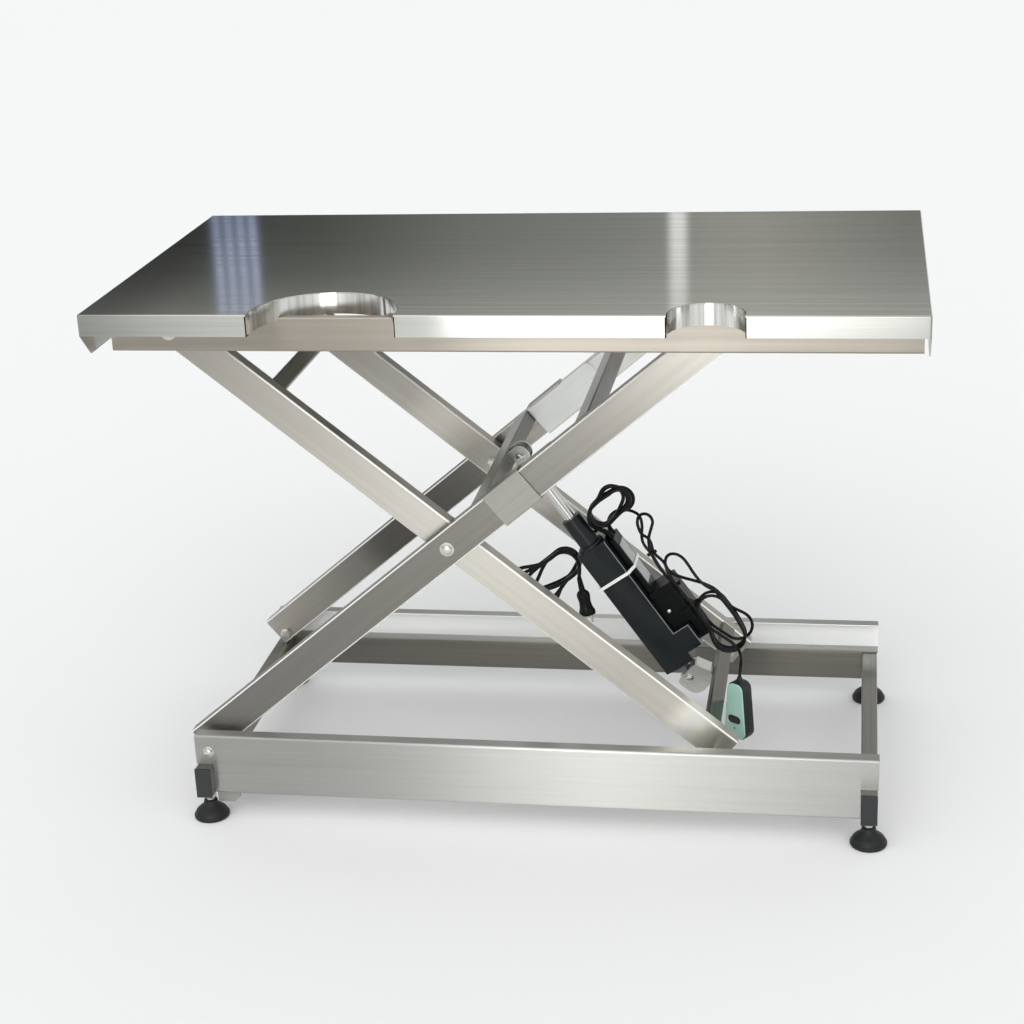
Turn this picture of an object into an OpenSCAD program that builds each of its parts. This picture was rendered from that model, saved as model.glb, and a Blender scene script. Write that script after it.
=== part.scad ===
// Height-adjustable veterinary examination table: a folded stainless top on a
// scissor lift that a linear actuator drives. Millimetres, +Z up, +X along the top.
// The origin is on the floor under the middle of the top, with the lift fully raised.

/* [Tabletop] */
// Length of the top
table_len = 1200; // [1000:10:1400]
// Width of the top
table_w = 650; // [600:10:760]
// Height of the folded front and back rims
rim_h = 32; // [20:1:40]
// Height of the end flanges
end_flange_h = 68; // [45:1:80]
// Size of the bevel at the ends of each end flange
flange_bevel = 36; // [10:1:44]
// Sheet thickness of the top
sheet_t = 1.5; // [1:0.1:3]
// Width of the return fold under each rim
rim_return = 12; // [6:1:20]
// Half width of the large cut-out in the front edge
large_notch_r = 107; // [70:1:120]
// Depth of the large cut-out
large_notch_depth = 126; // [110:1:150]
// Distance of the large cut-out from the middle of the top
large_notch_x = -243; // [-300:1:-200]
// Half width of the small cut-out in the front edge
small_notch_r = 54; // [30:1:70]
// Depth of the small cut-out
small_notch_depth = 66; // [60:1:80]
// Distance of the small cut-out from the middle of the top
small_notch_x = 298; // [250:1:340]

/* [Top frame] */
// Length of the top side rails
top_rail_len = 1178; // [1120:1:1190]
// Width over the top side rails
top_frame_w = 480; // [460:1:500]
// Height of the top side rails
top_rail_h = 52; // [48:1:60]
// Flange width of the top side rails
top_flange_w = 12; // [9:0.5:12]
// Size of the square cross bearers between the top rails and the sheet
bearer_size = 25; // [15:1:40]

/* [Base] */
// Length of the base side rails
base_len = 1063; // [1061:1:1120]
// Left end of the base side rails
base_x0 = -518; // [-530:1:-518]
// Width over the base side rails
base_w = 518; // [500:1:560]
// Height of the base side rails
base_rail_h = 100; // [98:1:120]
// Height of the closed lower half of a base rail, up to the roller shelf
shelf_h = 52; // [51:1:54]
// Width of the closed lower half of a base rail
shelf_w = 26; // [25:1:30]
// Width of the top flange of a base rail
base_flange_w = 22; // [20:1:24]
// Sheet thickness of the rails
rail_t = 2.5; // [2:0.1:3]
// Height of the base rails above the floor
foot_h = 46; // [44:1:70]
// Height of the cross bars
crossbar_h = 50; // [40:1:50]
// Width of the cross bars
crossbar_w = 25; // [20:1:30]
// How far a cross bar stands out of the rail
crossbar_out = 16; // [8:1:24]
// Wall of the cross bars and of the cross tubes
tube_wall = 1.5; // [1:0.1:3]

/* [Scissor arms] */
// Distance between the two end axes of an arm
arm_span = 1044; // [1020:1:1044]
// Angle of the line through an arm's axes with the lift raised
lift_angle = 40.6; // [36:0.1:42]
// How far the end axes lie off the middle line of the tube
pivot_offset = 11; // [4:0.5:12]
// Height of an arm tube
arm_h = 52; // [46:1:56]
// Thickness of an arm tube
arm_t = 25; // [20:1:26]
// Length of tube beyond an end axis
arm_end = 15.5; // [14:0.5:16]
// Distance from the base rail's outer face to the outer arm
arm_inset = 31.6; // [31:0.1:36]
// Gap between an outer and an inner arm
arm_gap = 4; // [3.8:0.1:6]
// Diameter of the rollers
roller_d = 40; // [36:1:41]
// Diameter of the pivot bolts
pivot_d = 12; // [10:1:14]
// Diameter of the roller axles
axle_d = 10; // [8:1:12]

/* [Actuator] */
// Position of the lower pin along the inner arm, from the centre pivot
low_pin_u = 456; // [452:1:458]
// Height of the lower pin over the arm's middle line
low_pin_v = -17; // [-18:0.5:-14]
// Position of the upper pin along the outer arm, from the centre pivot
top_pin_u = 110; // [109:0.5:114]
// Height of the upper pin over the arm's middle line
top_pin_v = 7; // [5:0.5:9]
// Diameter of the piston rod
rod_d = 20; // [16:1:22]
// Width of the spindle housing
housing_w = 54; // [50:1:58]
// Diameter of the mains lead
mains_d = 6; // [5:0.5:8]
// Diameter of the hand control's cord
hand_cord_d = 5; // [4:0.5:6]

/* [Feet] */
// Diameter of a foot pad
pad_d = 56; // [40:1:70]
// Diameter of a foot's threaded stem
stem_d = 12; // [10:1:14]

/* [Hidden] */
$fn = 48;

// Clearances: between welded or bolted faces, in running fits, and under a roller
weld_gap = 0.2;
run_fit = 0.05;
roller_gap = 0.3;
// Reach of a cut beyond the faces that it goes through
cut = 1;

// Heights and places of the linkage
axis_z0 = foot_h + shelf_h + roller_gap + roller_d / 2;
axis_x0 = base_x0 + 21.6;
arm_half = arm_span / 2;
axis_x1 = axis_x0 + arm_span * cos(lift_angle);
axis_z1 = axis_z0 + arm_span * sin(lift_angle);
centre_x = (axis_x0 + axis_x1) / 2;
centre_z = (axis_z0 + axis_z1) / 2;
end_u = sqrt(arm_half * arm_half - pivot_offset * pivot_offset);
arm_angle = lift_angle - asin(pivot_offset / arm_half);
bolt_r = pivot_d / 2;
axle_r = axle_d / 2;

// Distances from the middle plane, outwards
base_face = base_w / 2;
base_web_in = base_face - rail_t;
top_face = top_frame_w / 2;
top_web_in = top_face - rail_t;
outer_face = base_face - arm_inset;
outer_in = outer_face - arm_t;
inner_face = outer_in - arm_gap;
inner_in = inner_face - arm_t;

// Top frame heights
top_rail_top = axis_z1 + roller_d / 2 + roller_gap + rail_t;
sheet_under = top_rail_top + bearer_size;
table_h = sheet_under + sheet_t;
base_x1 = base_x0 + base_len;

// Bolt heads, nuts and spacers
head_r = 10;
head_h = 7;
nut_h = 8;
spacer_r = 11;
hex = 6;

// Arm-mounted beams
beam_w = 30;
beam_u = 66;
beam_v0 = 3;
cross_tube = 25;
outer_tube_u = 275;
inner_tube_u = -362;
low_beam_u = 478;
low_beam_h = 12;
saddle_u = 98;
saddle_len = 70;
saddle_t = 3;
stiffener_len = 134;

// Actuator: s runs along its axis from the lower pin to the upper pin, t across it
function on_arm(ang, u, v) = [centre_x + u * cos(ang) - v * sin(ang),
                              centre_z + u * sin(ang) + v * cos(ang)];
low_pin = on_arm(-arm_angle, low_pin_u, low_pin_v);
top_pin = on_arm(arm_angle, top_pin_u, top_pin_v);
pin_vec = top_pin - low_pin;
pin_dist = norm(pin_vec);
act_angle = atan2(pin_vec[1], pin_vec[0]);
stroke = 95;
rod_hidden = 30;
bore_depth = stroke + rod_hidden + 8;
eye_r = 13;
eye_w = 22;
ear_t = 4;
ear_gap = eye_w + 1;
ear_out = ear_gap / 2 + ear_t;
housing_s0 = 24;
housing_s1 = 271;
housing_y0 = -20;
housing_y1 = 22;
case_s0 = 46;
case_s1 = 80;
case_t1 = 57;
motor_t1 = 70;
motor_s1 = 150;
motor_y0 = -8;
motor_y1 = 46;
control_t1 = 37;
control_s0 = 152;
control_s1 = 262;
control_y0 = -4;
control_y1 = 45;
collar_r = 17;
collar_s0 = 275;
collar_s1 = 328;
tie_s = 203;
tie_w = 5;
gland_r = 4.5;
gland_len = 6;
mains_gland_y = 8;
hand_gland_y = 28;
gland_t = (housing_w / 2 + control_t1) / 2;

// Hanks: centres of the two round ends in [s, t], radius of the ends, and span in y
upper_hank = [[306, 46], [314, 79]];
upper_hank_y = [-14, 14];
lower_hank = [[264, -62], [257, -126]];
lower_hank_y = [8, 38];
hand_hank = [[88, 110], [34, 111]];
hand_hank_y = [-45, -18];
upper_hank_r = 22;
lower_hank_r = 26;
hand_hank_r = 25;

// Cord routes in [s, y, t], and the radius of the bundle that runs to the hand hank
mains_start = [[268, 8, 32], [278, 6.5, 29], [286, 3, 25.3], [294, -2.5, 22.8],
    [302, -7.8, 22.6], [310.5, -11, 25.6]];
mains_link = [[289, 11.5, 54], [287, 12.4, 48], [285, 15, 37], [283.5, 19, 24], [281.5, 23, 11],
    [278, 27, -3], [272.5, 31, -17], [264.5, 34.5, -30], [255, 36.5, -43], [247, 36.6, -57],
    [241, 35, -68]];
plug_lead = [[262, 11, -38], [252.5, 8, -40.2], [244, 4, -45], [237, 0, -50.5]];
hand_start = [[268, 28, 32], [278, 29.5, 34], [285, 33, 40], [288, 36, 50], [286.5, 36, 61],
    [281, 32, 72], [274, 25, 82], [266, 16.5, 88], [257, 10, 87]];
hand_bundle = [[258, 8, 87], [250, 6, 84], [230, 3, 75], [205, -1, 73], [170, -9, 76],
    [145, -17, 80], [124, -24, 84], [110, -27, 88]];
top_loop = [[246, 1, 80], [253, 0.3, 82.5], [260.5, -1, 87], [265, -2.8, 93.3],
    [264, -4.4, 99.5], [258.8, -5.8, 103], [252, -6.9, 101.3], [245.5, -7.6, 96], [239, -8, 89.5],
    [231, -7.5, 82.3], [224, -4, 77]];
side_loop = [[106, -36, 129], [130, -34, 120.5], [150, -29, 117.5], [166, -24, 117],
    [180, -20.5, 115], [190.5, -18, 108], [194, -16.5, 98], [189, -15.5, 88.5], [178, -14, 81.5],
    [166, -12, 78]];
hand_tail = [[30, -42.5, 89], [22, -44, 90], [12, -48, 95.5], [6, -55, 101], [3, -64, 105.5],
    [1.5, -74, 107.5], [-1, -83, 106.5], [-5.5, -89.5, 102.8], [-10.8, -92, 98], [-16, -92, 94]];
bundle_r = 7.5;

// Hand control, hung on the end of its cord: its turn to the left and its sizes
handset_turn = 35;
handset_len = 97;
handset_w = 45;
handset_top_w = 30;
handset_t = 27;
neck_len = 7;
neck_seat = 2;
tail_end = hand_tail[len(hand_tail) - 1];
hung_x = low_pin[0] + tail_end[0] * cos(act_angle) + tail_end[2] * sin(act_angle);
hung_z = low_pin[1] + tail_end[0] * sin(act_angle) - tail_end[2] * cos(act_angle);
handset_pos = [hung_x, tail_end[1], hung_z + neck_seat - neck_len - handset_len / 2];
face_t = 3;
rocker_z = -14;
rocker_l = 22;
rocker_w = 11;
rocker_play = 0.8;

// ---------- helpers ----------
module tube(size, wall) {
    difference() {
        cube(size, center = true);
        children();
    }
}

// Box given by its lowest and highest corners
module block(low, high) {
    translate(low) cube(high - low);
}

// Square tube along Y between the planes y = -half and y = half
module y_tube(x0, z0, w, h, half, wall) {
    difference() {
        block([x0, -half, z0], [x0 + w, half, z0 + h]);
        block([x0 + wall, -half - cut, z0 + wall], [x0 + w - wall, half + cut, z0 + h - wall]);
    }
}

// Cylinder along Y
module y_rod(x, z, y0, y1, r, fn = 48) {
    translate([x, y1, z]) rotate([90, 0, 0]) cylinder(h = y1 - y0, r = r, $fn = fn);
}

// Front side as drawn, back side mirrored
module both_sides() {
    children();
    mirror([0, 1, 0]) children();
}

module on_outer() {
    translate([centre_x, 0, centre_z]) rotate([0, -arm_angle, 0]) children();
}

module on_inner() {
    translate([centre_x, 0, centre_z]) rotate([0, arm_angle, 0]) children();
}

// Local X is s, local Y is y and local Z is -t
module on_actuator() {
    translate([low_pin[0], 0, low_pin[1]]) rotate([0, -act_angle, 0]) children();
}

// Box on the actuator from [s0, y0, t0] to [s1, y1, t1]
module act_block(low, high) {
    block([low[0], low[1], -high[2]], [high[0], high[1], -low[2]]);
}

// Rounded rectangle in [t, y], drawn for an extrusion along s
module round_rect(t0, t1, y0, y1, r) {
    translate([t0 + r, y0]) square([t1 - t0 - 2 * r, y1 - y0]);
    translate([t0, y0 + r]) square([t1 - t0, y1 - y0 - 2 * r]);
    for (t = [t0 + r, t1 - r], y = [y0 + r, y1 - r]) translate([t, y]) circle(r);
}

// Extrusion along s of a shape that is drawn in [t, y]
module along_s(s0, s1) {
    translate([s0, 0, 0]) rotate([0, 90, 0]) linear_extrude(s1 - s0) children();
}

// Round tube through points, as one closed solid
function unit(v) = v / norm(v);
function tangent(p, i) = unit(p[min(i + 1, len(p) - 1)] - p[max(i - 1, 0)]);
function side_of(t) = unit(cross(t, abs(t[2]) < 0.9 ? [0, 0, 1] : [1, 0, 0]));
function carried(n, t) = unit(n - (n * t) * t);
function frames(p, i = 0, n = undef) =
    i == len(p) ? [] :
    let (t = tangent(p, i), m = n == undef ? side_of(t) : carried(n, t))
    concat([[m, cross(t, m)]], frames(p, i + 1, m));
function midway(p, k, q) = let (a = p[max(k - 1, 0)], b = p[k], c = p[k + 1],
    d = p[min(k + 2, len(p) - 1)]) 0.5 * (2 * b + (c - a) * q
    + (2 * a - 5 * b + 4 * c - d) * q * q + (3 * b - a - 3 * c + d) * q * q * q);
function smooth(p, steps) = concat([for (k = [0:len(p) - 2], j = [0:steps - 1])
    midway(p, k, j / steps)], [p[len(p) - 1]]);
module cord(points, r, steps = 2, sides = 8) {
    p = smooth(points, steps);
    f = frames(p);
    n = len(p);
    rings = [for (i = [0:n - 1], j = [0:sides - 1])
        p[i] + r * (cos(360 * j / sides) * f[i][0] + sin(360 * j / sides) * f[i][1])];
    walls = [for (i = [0:n - 2], j = [0:sides - 1]) let (k = (j + 1) % sides)
        [i * sides + j, (i + 1) * sides + j, (i + 1) * sides + k, i * sides + k]];
    ends = [[for (j = [0:sides - 1]) j], [for (j = [sides - 1:-1:0]) (n - 1) * sides + j]];
    polyhedron(points = rings, faces = concat(walls, ends));
}
// The same on the actuator, from points in [s, y, t]
function flip(points) = [for (p = points) [p[0], p[1], -p[2]]];

// Slab with round ends that stands for a hank, in the actuator's plane
module hank(ends, r, span) {
    on_actuator() translate([0, span[1], 0]) rotate([90, 0, 0]) linear_extrude(span[1] - span[0])
        hull() for (e = ends) translate([e[0], -e[1]]) circle(r, $fn = 32);
}

// ---------- base ----------
module base_rail() {
    profile_z = foot_h;
    difference() {
        block([base_x0, -base_face, profile_z], [base_x1, -base_face + shelf_w,
            profile_z + base_rail_h]);
        // roller channel, open to the inside
        block([base_x0 - cut, -base_web_in, foot_h + shelf_h],
            [base_x1 + cut, -base_face + shelf_w + cut, foot_h + base_rail_h - rail_t]);
        block([base_x0 - cut, -base_face + base_flange_w, foot_h + shelf_h],
            [base_x1 + cut, -base_face + shelf_w + cut, foot_h + base_rail_h + cut]);
        // closed lower half
        block([base_x0 - cut, -base_web_in, foot_h + rail_t],
            [base_x1 + cut, -base_face + shelf_w - rail_t, foot_h + shelf_h - rail_t]);
        // seats of the cross bars
        for (x = crossbar_x) block([x - weld_gap, -base_face - cut, foot_h - cut],
            [x + crossbar_w + weld_gap, -base_face + shelf_w + cut,
             foot_h + crossbar_h + weld_gap]);
        block([base_x0 - cut, -base_face - cut, foot_h - cut],
            [crossbar_x[0], -base_face + shelf_w + cut, foot_h + crossbar_h + weld_gap]);
        block([crossbar_x[1], -base_face - cut, foot_h - cut],
            [base_x1 + cut, -base_face + shelf_w + cut, foot_h + crossbar_h + weld_gap]);
        y_rod(axis_x0, axis_z0, -base_face - cut, -base_web_in + cut, bolt_r + run_fit);
    }
}
crossbar_inset = 1.5;
crossbar_x = [base_x0 + crossbar_inset, base_x1 - crossbar_inset - crossbar_w];
foot_y = base_face - 8;
foot_x = [for (x = crossbar_x) x + crossbar_w / 2];

module base_front_rail() color("#b9b8b2") base_rail();
module base_back_rail() color("#b9b8b2") mirror([0, 1, 0]) base_rail();

module crossbar(x) {
    half = base_face + crossbar_out;
    difference() {
        y_tube(x, foot_h, crossbar_w, crossbar_h, half, tube_wall);
        for (y = [-foot_y, foot_y]) translate([x + crossbar_w / 2, y, foot_h - cut])
            cylinder(h = tube_wall + 2 * cut, r = stem_d / 2 + run_fit);
    }
}
module base_left_crossbar() color("#aaa9a4") crossbar(crossbar_x[0]);
module base_right_crossbar() color("#aaa9a4") crossbar(crossbar_x[1]);

plug_cap = 3;
plug_depth = 12;
module crossbar_plugs() color("#26282a")
    both_sides() for (x = crossbar_x) {
        y0 = -base_face - crossbar_out;
        in = tube_wall + weld_gap;
        block([x, y0 - weld_gap - plug_cap, foot_h],
            [x + crossbar_w, y0 - weld_gap, foot_h + crossbar_h]);
        block([x + in, y0 - weld_gap - cut, foot_h + in],
            [x + crossbar_w - in, y0 + plug_depth, foot_h + crossbar_h - in]);
    }

// Bolt along Y: head outside at the front, then the shank inwards
module bolt(x, z, face_y, tip_y, r, head = head_r, thick = head_h) {
    y_rod(x, z, face_y - thick, face_y - weld_gap, head, hex);
    y_rod(x, z, face_y - weld_gap - cut, tip_y, r);
}
// Ring along Y
module ring(x, z, y0, y1, r, hole) {
    difference() {
        y_rod(x, z, y0, y1, r);
        y_rod(x, z, y0 - cut, y1 + cut, hole);
    }
}
module nut(x, z, y0, r) {
    difference() {
        y_rod(x, z, y0 + weld_gap, y0 + nut_h, head_r, hex);
        y_rod(x, z, y0 - cut, y0 + nut_h + cut, r + run_fit);
    }
}

module base_pivot_bolts() color("#d6d6d4") both_sides() {
    bolt(axis_x0, axis_z0, -base_face, -outer_in + nut_h + 2, bolt_r);
    ring(axis_x0, axis_z0, -base_web_in + weld_gap, -outer_face - weld_gap, spacer_r,
        bolt_r + run_fit);
    nut(axis_x0, axis_z0, -outer_in, bolt_r);
}

lug_len = 42;
lug_drop = 20;
lug_t = 5;
lug_bevel = 10;
module lug_plates() color("#9d9c97") both_sides() {
    x = crossbar_x[0] + crossbar_w - 5;
    translate([x, -base_face + 14, foot_h - weld_gap]) rotate([90, 0, 0])
        linear_extrude(lug_t) polygon([[weld_gap + 5, 0], [lug_len, 0],
            [lug_len, lug_bevel - lug_drop], [lug_len - lug_bevel, -lug_drop],
            [weld_gap + 5, -lug_drop]]);
}

// ---------- feet ----------
pad_h = 30;
pad_neck_r = 9;
stem_top = foot_h + 28;
locknut_h = 11;
module foot_stem(x, y) color("#cfcfce") translate([x, y, 0]) {
    translate([0, 0, pad_h + weld_gap]) cylinder(h = stem_top - pad_h, r = stem_d / 2);
    translate([0, 0, foot_h - roller_gap - locknut_h])
        cylinder(h = locknut_h, r = stem_d / 2 + 4, $fn = hex);
}
module foot_pad(x, y) color("#1d1f20") translate([x, y, 0]) rotate_extrude()
    polygon([[0, 0], [pad_d / 2 - 2, 0], [pad_d / 2, 3], [pad_d / 2, 7], [pad_d / 2 - 4, 14],
        [pad_d / 2 - 12, 20], [pad_neck_r + 2, pad_h - 5], [pad_neck_r, pad_h], [0, pad_h]]);
module foot_stem_fl() foot_stem(foot_x[0], -foot_y);
module foot_stem_fr() foot_stem(foot_x[1], -foot_y);
module foot_stem_bl() foot_stem(foot_x[0], foot_y);
module foot_stem_br() foot_stem(foot_x[1], foot_y);
module foot_pad_fl() foot_pad(foot_x[0], -foot_y);
module foot_pad_fr() foot_pad(foot_x[1], -foot_y);
module foot_pad_bl() foot_pad(foot_x[0], foot_y);
module foot_pad_br() foot_pad(foot_x[1], foot_y);

// ---------- arms ----------
arm_len = end_u + arm_end;
arm_wall = 2;
// Arm tube in its own frame, between two y planes. The first end axis is at low_v,
// the other one opposite it, and hole_r gives the radii of the three bores.
module arm(y0, y1, low_v, hole_r) {
    difference() {
        block([-arm_len, y0, -arm_h / 2], [arm_len, y1, arm_h / 2]);
        block([-arm_len - cut, y0 + arm_wall, -arm_h / 2 + arm_wall],
            [arm_len + cut, y1 - arm_wall, arm_h / 2 - arm_wall]);
        y_rod(-end_u, low_v, y0 - cut, y1 + cut, hole_r[0] + run_fit);
        y_rod(0, 0, y0 - cut, y1 + cut, hole_r[1] + run_fit);
        y_rod(end_u, -low_v, y0 - cut, y1 + cut, hole_r[2] + run_fit);
    }
}
arm_holes = [bolt_r, bolt_r, axle_r];
module outer_arm_front() color("#c4c2bb") on_outer() arm(-outer_face, -outer_in,
    -pivot_offset, arm_holes);
module outer_arm_back() color("#c4c2bb") on_outer() arm(outer_in, outer_face,
    -pivot_offset, arm_holes);
module inner_arm_front() color("#bebcb5") on_inner() arm(-inner_face, -inner_in,
    pivot_offset, arm_holes);
module inner_arm_back() color("#bebcb5") on_inner() arm(inner_in, inner_face,
    pivot_offset, arm_holes);

module outer_cross_tube() color("#8f8e89") on_outer()
    y_tube(outer_tube_u, arm_h / 2 - cross_tube, cross_tube, cross_tube,
        outer_in - weld_gap, tube_wall);
module inner_cross_tube() color("#8f8e89") on_inner()
    y_tube(inner_tube_u, arm_h / 2 - cross_tube, cross_tube, cross_tube,
        inner_in - weld_gap, tube_wall);
module actuator_beam() color("#a9a8a3") on_outer()
    y_tube(beam_u, beam_v0, beam_w, arm_h / 2 - beam_v0, outer_in - weld_gap, tube_wall);
module inner_low_beam() color("#8f8e89") on_inner()
    y_tube(low_beam_u, arm_h / 2 - low_beam_h, cross_tube, low_beam_h, inner_in - weld_gap,
        tube_wall);

// Plates that wrap the outer arms at the beam, with a stiffener on the inner face
module beam_saddles() color("#cbcac4") on_outer() both_sides() {
    edge = arm_h / 2 + weld_gap;
    difference() {
        block([saddle_u, -outer_face - weld_gap - saddle_t, -edge - saddle_t],
            [saddle_u + saddle_len, -outer_in, edge + saddle_t]);
        block([saddle_u - cut, -outer_face - weld_gap, -edge],
            [saddle_u + saddle_len + cut, -outer_in + cut, edge]);
    }
    block([saddle_u, -outer_in + weld_gap, -arm_h / 2],
        [saddle_u + stiffener_len, -outer_in + saddle_t, arm_h / 2]);
}

ear_round = 14;
module rod_bracket() color("#d2d1cb") on_outer() {
    x0 = beam_u + beam_w + weld_gap;
    top = top_pin_v + 16;
    low = top_pin_v - 16;
    both_sides() difference() {
        union() {
            block([x0, -ear_out, low], [top_pin_u, -ear_gap / 2, top]);
            block([top_pin_u - cut, -ear_out, low + ear_round],
                [top_pin_u + ear_round, -ear_gap / 2, top - ear_round]);
            for (z = [low + ear_round, top - ear_round])
                y_rod(top_pin_u, z, -ear_out, -ear_gap / 2, ear_round);
        }
        y_rod(top_pin_u, top_pin_v, -ear_out - cut, -ear_gap / 2 + cut, axle_r + run_fit);
    }
    bolt(top_pin_u, top_pin_v, -ear_out, ear_out + nut_h + 1, axle_r, 8.5, 6);
    nut(top_pin_u, top_pin_v, ear_out, axle_r);
}

module centre_pivot_bolts() color("#d6d6d4") on_outer() both_sides() {
    bolt(0, 0, -outer_face, -inner_in + nut_h + 2, bolt_r, 9, 6);
    ring(0, 0, -outer_in + weld_gap, -inner_face - weld_gap, spacer_r, bolt_r + run_fit);
    nut(0, 0, -inner_in, bolt_r);
}

// Rollers and their axles
top_roller_w = top_web_in - outer_face - 1.4;
base_roller_w = 17;
roller_side = 0.7;
module top_roller_axles() color("#d6d6d4") on_outer() both_sides() {
    y_rod(end_u, pivot_offset, -top_web_in + roller_side, -outer_in + weld_gap + cut, axle_r);
    y_rod(end_u, pivot_offset, -outer_in + weld_gap, -outer_in + head_h, 8, hex);
}
module base_roller_axles() color("#d6d6d4") on_inner() both_sides() {
    tip = -base_web_in + roller_side;
    y_rod(end_u, -pivot_offset, tip, -inner_in + weld_gap + cut, axle_r);
    y_rod(end_u, -pivot_offset, -inner_in + weld_gap, -inner_in + head_h, 8, hex);
    ring(end_u, -pivot_offset, -base_web_in + 2 * roller_side + base_roller_w,
        -inner_face - weld_gap, 9, axle_r + run_fit);
}
module roller(z, y0, w) {
    ring(axis_x1, z, y0, y0 + w, roller_d / 2, axle_r + run_fit);
}
module top_roller_front() color("#e4e4e2") roller(axis_z1, -top_web_in + roller_side,
    top_roller_w);
module top_roller_back() color("#e4e4e2") mirror([0, 1, 0]) roller(axis_z1,
    -top_web_in + roller_side, top_roller_w);
module base_roller_front() color("#e4e4e2") roller(axis_z0, -base_web_in + roller_side,
    base_roller_w);
module base_roller_back() color("#e4e4e2") mirror([0, 1, 0]) roller(axis_z0,
    -base_web_in + roller_side, base_roller_w);

// Shoe under the low beam that carries the actuator's lower pin: two ears and a bridge
low_ear_t = 5;
low_ear_u = low_pin_u - 10;
low_ear_reach = 10;
low_ear_round = 20;
bridge_t = 4;
module actuator_bracket() color("#c9c8c2") on_inner() {
    out = ear_gap / 2 + low_ear_t;
    top = arm_h / 2 - low_beam_h - weld_gap;
    u1 = low_beam_u + low_ear_reach;
    v0 = low_pin_v - 17;
    v1 = low_pin_v + 22;
    both_sides() translate([0, -ear_gap / 2, 0]) rotate([90, 0, 0])
        linear_extrude(low_ear_t) {
            polygon([[low_ear_u, v0], [u1 - low_ear_round, v0], [u1, v0 + low_ear_round],
                [u1, top], [low_beam_u - 4, top], [low_ear_u, v1]]);
            translate([u1 - low_ear_round, v0 + low_ear_round]) circle(low_ear_round);
        }
    translate([0, out, 0]) rotate([90, 0, 0]) linear_extrude(2 * out)
        polygon([[low_ear_u + 3, v1 + 0.9], [low_beam_u - 3, v1 + 8.6],
            [low_beam_u - 3, v1 + 8.6 + bridge_t], [low_ear_u + 3, v1 + 0.9 + bridge_t]]);
    y_rod(low_pin_u, low_pin_v, -out - 6, -out, 8.5, hex);
    y_rod(low_pin_u, low_pin_v, out, out + 6, 8.5, hex);
}

// ---------- tabletop ----------
module notch_cut(x, r, depth, z0, z1) {
    y0 = -table_w / 2;
    block([x - r, y0 - cut, z0], [x + r, y0 + depth - r, z1]);
    translate([x, y0 + depth - r, z0]) cylinder(h = z1 - z0, r = r, $fn = 96);
}
notches = [[large_notch_x, large_notch_r, large_notch_depth],
    [small_notch_x, small_notch_r, small_notch_depth]];

module end_flange(x) {
    y = table_w / 2 - sheet_t;
    translate([x, 0, table_h]) rotate([90, 0, 90]) linear_extrude(sheet_t)
        polygon([[-y, 0], [-y, -rim_h], [-y + flange_bevel, -end_flange_h],
            [y - flange_bevel, -end_flange_h], [y, -rim_h], [y, 0]]);
}
module top_sheet() color("#8c8d88") {
    y = table_w / 2;
    difference() {
        union() {
            block([-table_len / 2, -y, sheet_under], [table_len / 2, y, table_h]);
            both_sides() {
                block([-table_len / 2, -y, table_h - rim_h], [table_len / 2, -y + sheet_t,
                    table_h]);
                block([-table_len / 2 + sheet_t, -y, table_h - rim_h],
                    [table_len / 2 - sheet_t, -y + rim_return, table_h - rim_h + sheet_t]);
            }
        }
        for (n = notches)
            notch_cut(n[0], n[1] + weld_gap + sheet_t, n[2] + weld_gap + sheet_t,
                table_h - rim_h - cut, sheet_under - weld_gap);
        for (n = notches) notch_cut(n[0], n[1], n[2], sheet_under - cut, table_h + cut);
    }
    for (x = [-table_len / 2, table_len / 2 - sheet_t]) end_flange(x);
}
module notch_walls() color("#c9c8c2") for (n = notches) difference() {
    intersection() {
        notch_cut(n[0], n[1] + sheet_t, n[2] + sheet_t, table_h - rim_h,
            sheet_under - weld_gap);
        block([-table_len, -table_w / 2, 0], [table_len, 0, table_h]);
    }
    notch_cut(n[0], n[1], n[2], table_h - rim_h - cut, table_h);
    // room for the side rail where a cut-out reaches over it
    block([-table_len, -top_face - weld_gap, 0], [table_len, 0, top_rail_top + weld_gap]);
}

module top_rail() {
    low = top_rail_top - top_rail_h;
    x0 = -top_rail_len / 2 + 4.5;
    x1 = x0 + top_rail_len;
    difference() {
        block([x0, -top_face, low], [x1, -top_face + top_flange_w, top_rail_top]);
        block([x0 - cut, -top_web_in, low + rail_t],
            [x1 + cut, -top_face + top_flange_w + cut, top_rail_top - rail_t]);
        y_rod(axis_x0, axis_z1, -top_face - cut, -top_web_in + cut, bolt_r + run_fit);
    }
}
module top_front_rail() color("#c3bfb4") top_rail();
module top_back_rail() color("#c3bfb4") mirror([0, 1, 0]) top_rail();

bearer_x = [-572, -100, 205, 550];
module top_bearers() color("#a9a8a3") for (x = bearer_x)
    y_tube(x, top_rail_top + weld_gap, bearer_size, bearer_size - 2 * weld_gap,
        table_w / 2 - rim_return - 10, tube_wall);

module top_pivot_bolts() color("#d6d6d4") both_sides() {
    bolt(axis_x0, axis_z1, -top_face, -inner_in + nut_h + 2, bolt_r);
    ring(axis_x0, axis_z1, -top_web_in + weld_gap, -inner_face - weld_gap, spacer_r,
        bolt_r + run_fit);
    nut(axis_x0, axis_z1, -inner_in, bolt_r);
}

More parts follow.
